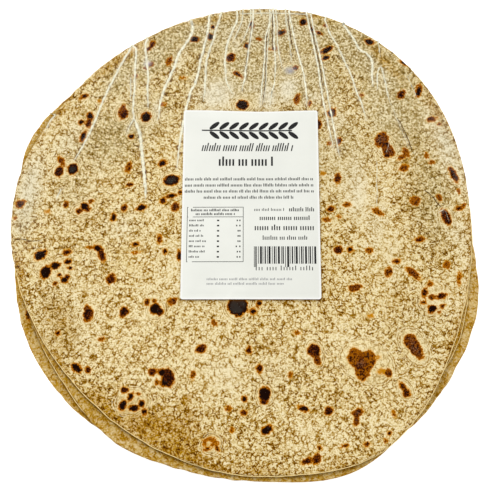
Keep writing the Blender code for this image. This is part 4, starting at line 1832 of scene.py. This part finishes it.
@dataclass(frozen=True)
class Label:
    """The paper label with its stand-in print, laid out in millimetres from its upper left corner."""

    film: Film
    width: float = 70.0
    length: float = 100.0
    corner: float = 1.6
    middle: tuple[float, float] = (0.0033, 0.0141)
    paper: float = 0.00012
    hold: float = 0.00006
    rise: float = 0.00026
    rise_over: float = 5.0
    curl: float = 0.00022
    curl_over: float = 6.0
    dip: float = 0.9
    dip_at: float = 0.57
    dip_width: float = 20.0
    dip_length: float = 14.0
    # Painted shadow of the label on the bread: a dark line at its edge and a softer tail (haze), deepest
    # below, less to the right
    shade_width: float = 0.6
    haze: float = 0.3
    shade_tail_width: float = 1.5
    shade_below: float = 0.95
    shade_right: float = 0.48
    shade_round: float = 0.18
    under: float = -3.0
    ink: float = 0.00003
    cell: float = 1.25
    bar_cell: float = 4.0
    seed: int = 7

    def ground(self, x: Array, y: Array) -> Array:
        """Return the height of the label's underside: down on the film at its edges, clear inside.

        Args:
            x: Millimetres from the label's left edge.
            y: Millimetres from its upper edge.

        Returns:
            The heights above the floor.
        """
        inset = np.minimum(np.minimum(x, self.width - x), np.minimum(y, self.length - y))
        share = np.clip(inset / self.rise_over, 0.0, 1.0)
        film = self.film.surface(*self.to_frame(x, y))
        curl = self.curl * np.clip((y - self.length) / self.curl_over + 1.0, 0.0, 1.0) ** 2
        return film + self.hold + np.maximum(self.rise * share * share * (3 - 2 * share), curl)

    def shade_beside(self, x: Array, y: Array) -> Array:
        """Paint the label's shadow on the bread close to it, darkest below and to the right.

        Args:
            x: First coordinates.
            y: Second coordinates.

        Returns:
            How much painted shadow each point gets.
        """
        right = (x - self.middle[0]) / MM - 0.5 * self.width
        below = (self.middle[1] - y) / MM - 0.5 * self.length
        above = (y - self.middle[1]) / MM - 0.5 * self.length
        left = (self.middle[0] - x) / MM - 0.5 * self.width
        off = np.maximum(np.maximum(right, below), np.maximum(above, left))
        near = np.exp(-((np.maximum(off, 0.0) / self.shade_width) ** 2))
        near = near + self.haze * np.exp(-np.maximum(off, 0.0) / self.shade_tail_width)
        depth = np.where(right >= off, self.shade_right, self.shade_round)
        depth = np.where(below >= off, self.shade_below, depth)
        return np.minimum(near, 1.0) * depth * (off > self.under)

    def to_frame(self, x: Array, y: Array) -> tuple[Array, Array]:
        """Turn label millimetres into the frame's own x and y.

        Args:
            x: Millimetres from the label's left edge.
            y: Millimetres from its upper edge.

        Returns:
            The points' x and y.
        """
        left, top = self.middle[0] - self.width * MM / 2, self.middle[1] + self.length * MM / 2
        across = (x - self.dip_at * self.width) / self.dip_width
        dip = self.dip * np.exp(-(across**2) - y / self.dip_length)
        return left + x * MM, top - (y + dip) * MM

    def lay_down(
        self, sheet: bmesh.types.BMesh, lift: float, thickness: float, name: str
    ) -> bpy.types.Mesh:
        """Give a flat drawing its thickness and lay it on the pack.

        Args:
            sheet: The drawing, in label millimetres; it is used up.
            lift: Height of its underside over the label's own.
            thickness: Its thickness.
            name: Name of the mesh.

        Returns:
            The finished mesh.
        """
        x = np.array([vertex.co.x for vertex in sheet.verts])
        y = np.array([vertex.co.y for vertex in sheet.verts])
        places = zip(sheet.verts, *self.to_frame(x, y), self.ground(x, y) + lift)
        for vertex, across, along, height in places:
            vertex.co = (across, along, height)
        under = sheet.faces[:]
        grown = bmesh.ops.extrude_face_region(sheet, geom=under, use_keep_orig=True)["geom"]
        raised = [item for item in grown if isinstance(item, bmesh.types.BMVert)]
        bmesh.ops.translate(sheet, vec=(0.0, 0.0, thickness), verts=raised)
        bmesh.ops.recalc_face_normals(sheet, faces=sheet.faces)
        return to_mesh(sheet, name)

    def build_paper(self, finish: bpy.types.Material) -> bpy.types.Object:
        """Make the label's paper.

        Args:
            finish: The paper's material.

        Returns:
            The paper's object.
        """
        sheet = bmesh.new()
        columns, rows = round(self.width / self.cell), round(self.length / self.cell)
        bmesh.ops.create_grid(sheet, x_segments=columns, y_segments=rows, size=0.5)
        bmesh.ops.translate(sheet, vec=(0.5, 0.5, 0.0), verts=sheet.verts)
        bmesh.ops.scale(sheet, vec=(self.width, self.length, 1.0), verts=sheet.verts)
        corners = [vertex for vertex in sheet.verts if len(vertex.link_faces) == 1]
        bmesh.ops.bevel(sheet, geom=corners, offset=min(self.corner, 0.95 * self.cell), segments=4,
                        profile=0.5, affect="VERTICES", material=-1)
        # Painted highlight along the paper's cut edge
        edge = sheet.verts.layers.float.new(EDGE_HIGHLIGHT)
        for vertex in sheet.verts:
            vertex[edge] = float(vertex.is_boundary)
        mesh = self.lay_down(sheet, 0.0, self.paper, "label_paper")
        return place_piece(mesh, finish)

    def bar(self, sheet: bmesh.types.BMesh, left: float, top: float, width: float, height: float,
            slant: float = 0.0) -> None:
        """Draw one bar.

        Args:
            sheet: The drawing to add to.
            left: Its left edge.
            top: Its upper edge.
            width: Its width.
            height: Its height.
            slant: Sideways shift of its top for each unit of height.
        """
        shape = Matrix(((width, -slant * height, 0, left + width / 2), (0, height, 0, top + height / 2),
                        (0, 0, 1, 0), (0, 0, 0, 1)))
        columns, rows = math.ceil(width / self.bar_cell), math.ceil(height / self.bar_cell)
        bmesh.ops.create_grid(sheet, x_segments=columns, y_segments=rows, size=0.5, matrix=shape)

    def oval(self, sheet: bmesh.types.BMesh, x: float, y: float, length: float, width: float,
             turn: float) -> None:
        """Draw one filled oval, such as a kernel.

        Args:
            sheet: The drawing to add to.
            x: Its middle.
            y: Its middle.
            length: Its length.
            width: Its width.
            turn: Its direction in degrees.
        """
        shape = Matrix.Translation((x, y, 0)) @ Matrix.Rotation(math.radians(turn), 4, "Z")
        shape = shape @ Matrix.Diagonal((length, width, 1, 1))
        bmesh.ops.create_circle(sheet, cap_ends=True, segments=16, radius=0.5, matrix=shape)

    def draw_ear(self, sheet: bmesh.types.BMesh) -> None:
        """Draw a lying ear of grain in the place of the title: a stem and two rows of kernels.

        Args:
            sheet: The drawing to add to.
        """
        left, right, middle, stem = 9.5, 59.5, 11.2, 0.7
        count, first, last = 9, 5.0, 4.0
        length, width, aside, ahead, splay = 6.4, 2.3, 2.6, 1.6, 38.0
        self.bar(sheet, left, middle - stem / 2, right - left - 3.0, stem)
        for number in range(count):
            x = left + first + (right - left - first - last) * number / (count - 1)
            for way in (-1, 1):
                self.oval(sheet, x + ahead, middle + way * aside, length, width, way * splay)

    def draw_text(self, sheet: bmesh.types.BMesh, line: TextLine, rng: np.random.Generator) -> None:
        """Draw one line of strokes, in words of uneven length.

        Args:
            sheet: The drawing to add to.
            line: The line's place and size.
            rng: Source of the words' lengths.
        """
        x = line.left
        tall, tall_share, space = 1.4, 0.25, 0.8
        while x < line.right - line.stroke:
            for _ in range(rng.integers(3, 9)):
                if x > line.right - line.stroke:
                    break
                height = line.height * (tall if rng.random() < tall_share else 1.0)
                bottom = line.middle + line.height / 2
                self.bar(sheet, x, bottom - height, line.stroke, height, line.slant)
                x += line.pitch
            x += space * line.pitch

    def draw_box(self, sheet: bmesh.types.BMesh, rng: np.random.Generator) -> None:
        """Draw the ruled box with its rows of short strokes and dots.

        Args:
            sheet: The drawing to add to.
            rng: Source of the rows' lengths.
        """
        left, right, top, head, bottom, rule = 2.6, 31.3, 52.6, 57.7, 81.2, 0.28
        count, first, pitch, tall = 8, 59.7, 2.7, 0.8
        for y in (top, head, bottom - rule):
            self.bar(sheet, left, y, right - left, rule)
        for x in (left, right - rule):
            self.bar(sheet, x, top + rule, rule, bottom - top - 2 * rule)
        for number in range(count):
            y = first + pitch * number
            words = TextLine(left + 1.2, left + 6.5 + 3.5 * rng.random(), y, tall, 0.40, 0.70)
            self.draw_text(sheet, words, rng)
            for x, width in ((17.9, 1.1), (27.4 + rng.random(), 0.6), (29.2, 0.6)):
                self.bar(sheet, x, y - tall / 2, width, tall)

    def draw_bars(self, sheet: bmesh.types.BMesh) -> None:
        """Draw the field of upright bars, in an even rhythm that means nothing.

        Args:
            sheet: The drawing to add to.
        """
        left, right, top, bottom = 36.6, 68.3, 73.2, 82.1
        widths, gaps = (0.34, 0.66, 0.34, 0.99), (0.34, 0.66, 0.66)
        guard, guard_every, guard_bars = 1.7, 14, 2
        x, number = left, 0
        while x < right - widths[number % len(widths)]:
            width = widths[number % len(widths)]
            height = bottom - top + (guard if number % guard_every < guard_bars else 0.0)
            self.bar(sheet, x, top, width, height)
            x += width + gaps[number % len(gaps)]
            number += 1

    def build_print(self, ink: Ink, finish: bpy.types.Material) -> bpy.types.Object:
        """Make all print of one ink.

        Args:
            ink: Which ink.
            finish: The ink's material.

        Returns:
            The print's object.
        """
        rng = np.random.default_rng(self.seed)
        sheet = bmesh.new()
        for line in TEXT_LINES:
            if line.ink == ink:
                self.draw_text(sheet, line, rng)
        if ink == Ink.BLACK:
            self.draw_ear(sheet)
            self.draw_box(sheet, rng)
            self.draw_bars(sheet)
        mesh = self.lay_down(sheet, self.paper - 0.2 * self.ink, self.ink, f"print_{ink.name.lower()}")
        return place_piece(mesh, finish)


@dataclass(frozen=True)
class Studio:
    """The pale floor under the pack and the plain soft light round it."""

    white: tuple = (1.0, 1.0, 1.0, 1.0)
    floor_reach: float = 3.0
    floor_paint: tuple = (0.9, 0.9, 0.9, 1.0)
    floor_roughness: float = 0.9
    floor_glow: float = 0.6
    sky: float = 0.80
    key_side: float = 0.6
    key_power: float = 22.0
    key_place: tuple = (-0.65, 1.4, 1.95)

    def build(self) -> None:
        """Lay the floor, light it and choose plain colours."""
        self.lay_floor()
        self.light_all_round()
        self.hang_key()
        bpy.context.scene.view_settings.view_transform = "Standard"

    def lay_floor(self) -> None:
        """Lay the floor, which glows a little so that it stays pale."""
        sheet = bmesh.new()
        bmesh.ops.create_grid(sheet, x_segments=1, y_segments=1, size=self.floor_reach)
        floor = add_object("floor", to_mesh(sheet, "floor"))
        material = Material("floor_white")
        material.coat(self.floor_paint, self.floor_roughness)
        material.set("Emission Color", self.white)
        material.set("Emission Strength", self.floor_glow)
        floor.data.materials.append(material.data)

    def light_all_round(self) -> None:
        """Give the scene an even white sky."""
        world = bpy.data.worlds.new("studio")
        world.use_nodes = True
        background = world.node_tree.nodes["Background"]
        background.inputs["Color"].default_value = self.white
        background.inputs["Strength"].default_value = self.sky
        bpy.context.scene.world = world

    def hang_key(self) -> None:
        """Hang the one square soft light, facing the pack."""
        lamp = bpy.data.lights.new("key", "AREA")
        lamp.size = self.key_side
        lamp.energy = self.key_power
        key = add_object("key", lamp)
        key.location = self.key_place
        key.rotation_euler = (-Vector(self.key_place)).to_track_quat("-Z", "Y").to_euler()


def main() -> None:
    """Build the pack piece by piece and light it."""
    logging.basicConfig(level=logging.INFO, format="%(message)s")
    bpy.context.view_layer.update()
    VIEW.set_camera()
    Studio().build()
    bread_finish = BreadFinish(CrumbGroup().build()).build()
    film = Film()
    label = Label(film)
    lower = {"cells": 150, "plain": 0.62, "rim_toast": 0.50}
    lowest = Bread(0, marks=Spots(LOWEST_MARKS, FORM.bread_thickness), **lower)
    middle = Bread(1, marks=NO_SPOTS, **lower)
    top = Bread(2, 290, TOP_SPOTS, TOP_BLISTERS, TOP_TOAST, TOP_GRAIN, TOP_SMOOTH, TOP_PALE, label,
                rim_start=0.97)
    for bread in (lowest, middle, top):
        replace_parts(bread.build(bread_finish), "pack")
    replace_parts(film.build_skin(FilmFinish().build()), "pack")
    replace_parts(film.build_creases(CreaseFinish().build()), "pack")
    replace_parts(label.build_paper(PaperFinish().build()), "label")
    for ink in Ink:
        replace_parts(label.build_print(ink, InkFinish(ink).build()), "label")


if __name__ == "__main__":
    main()
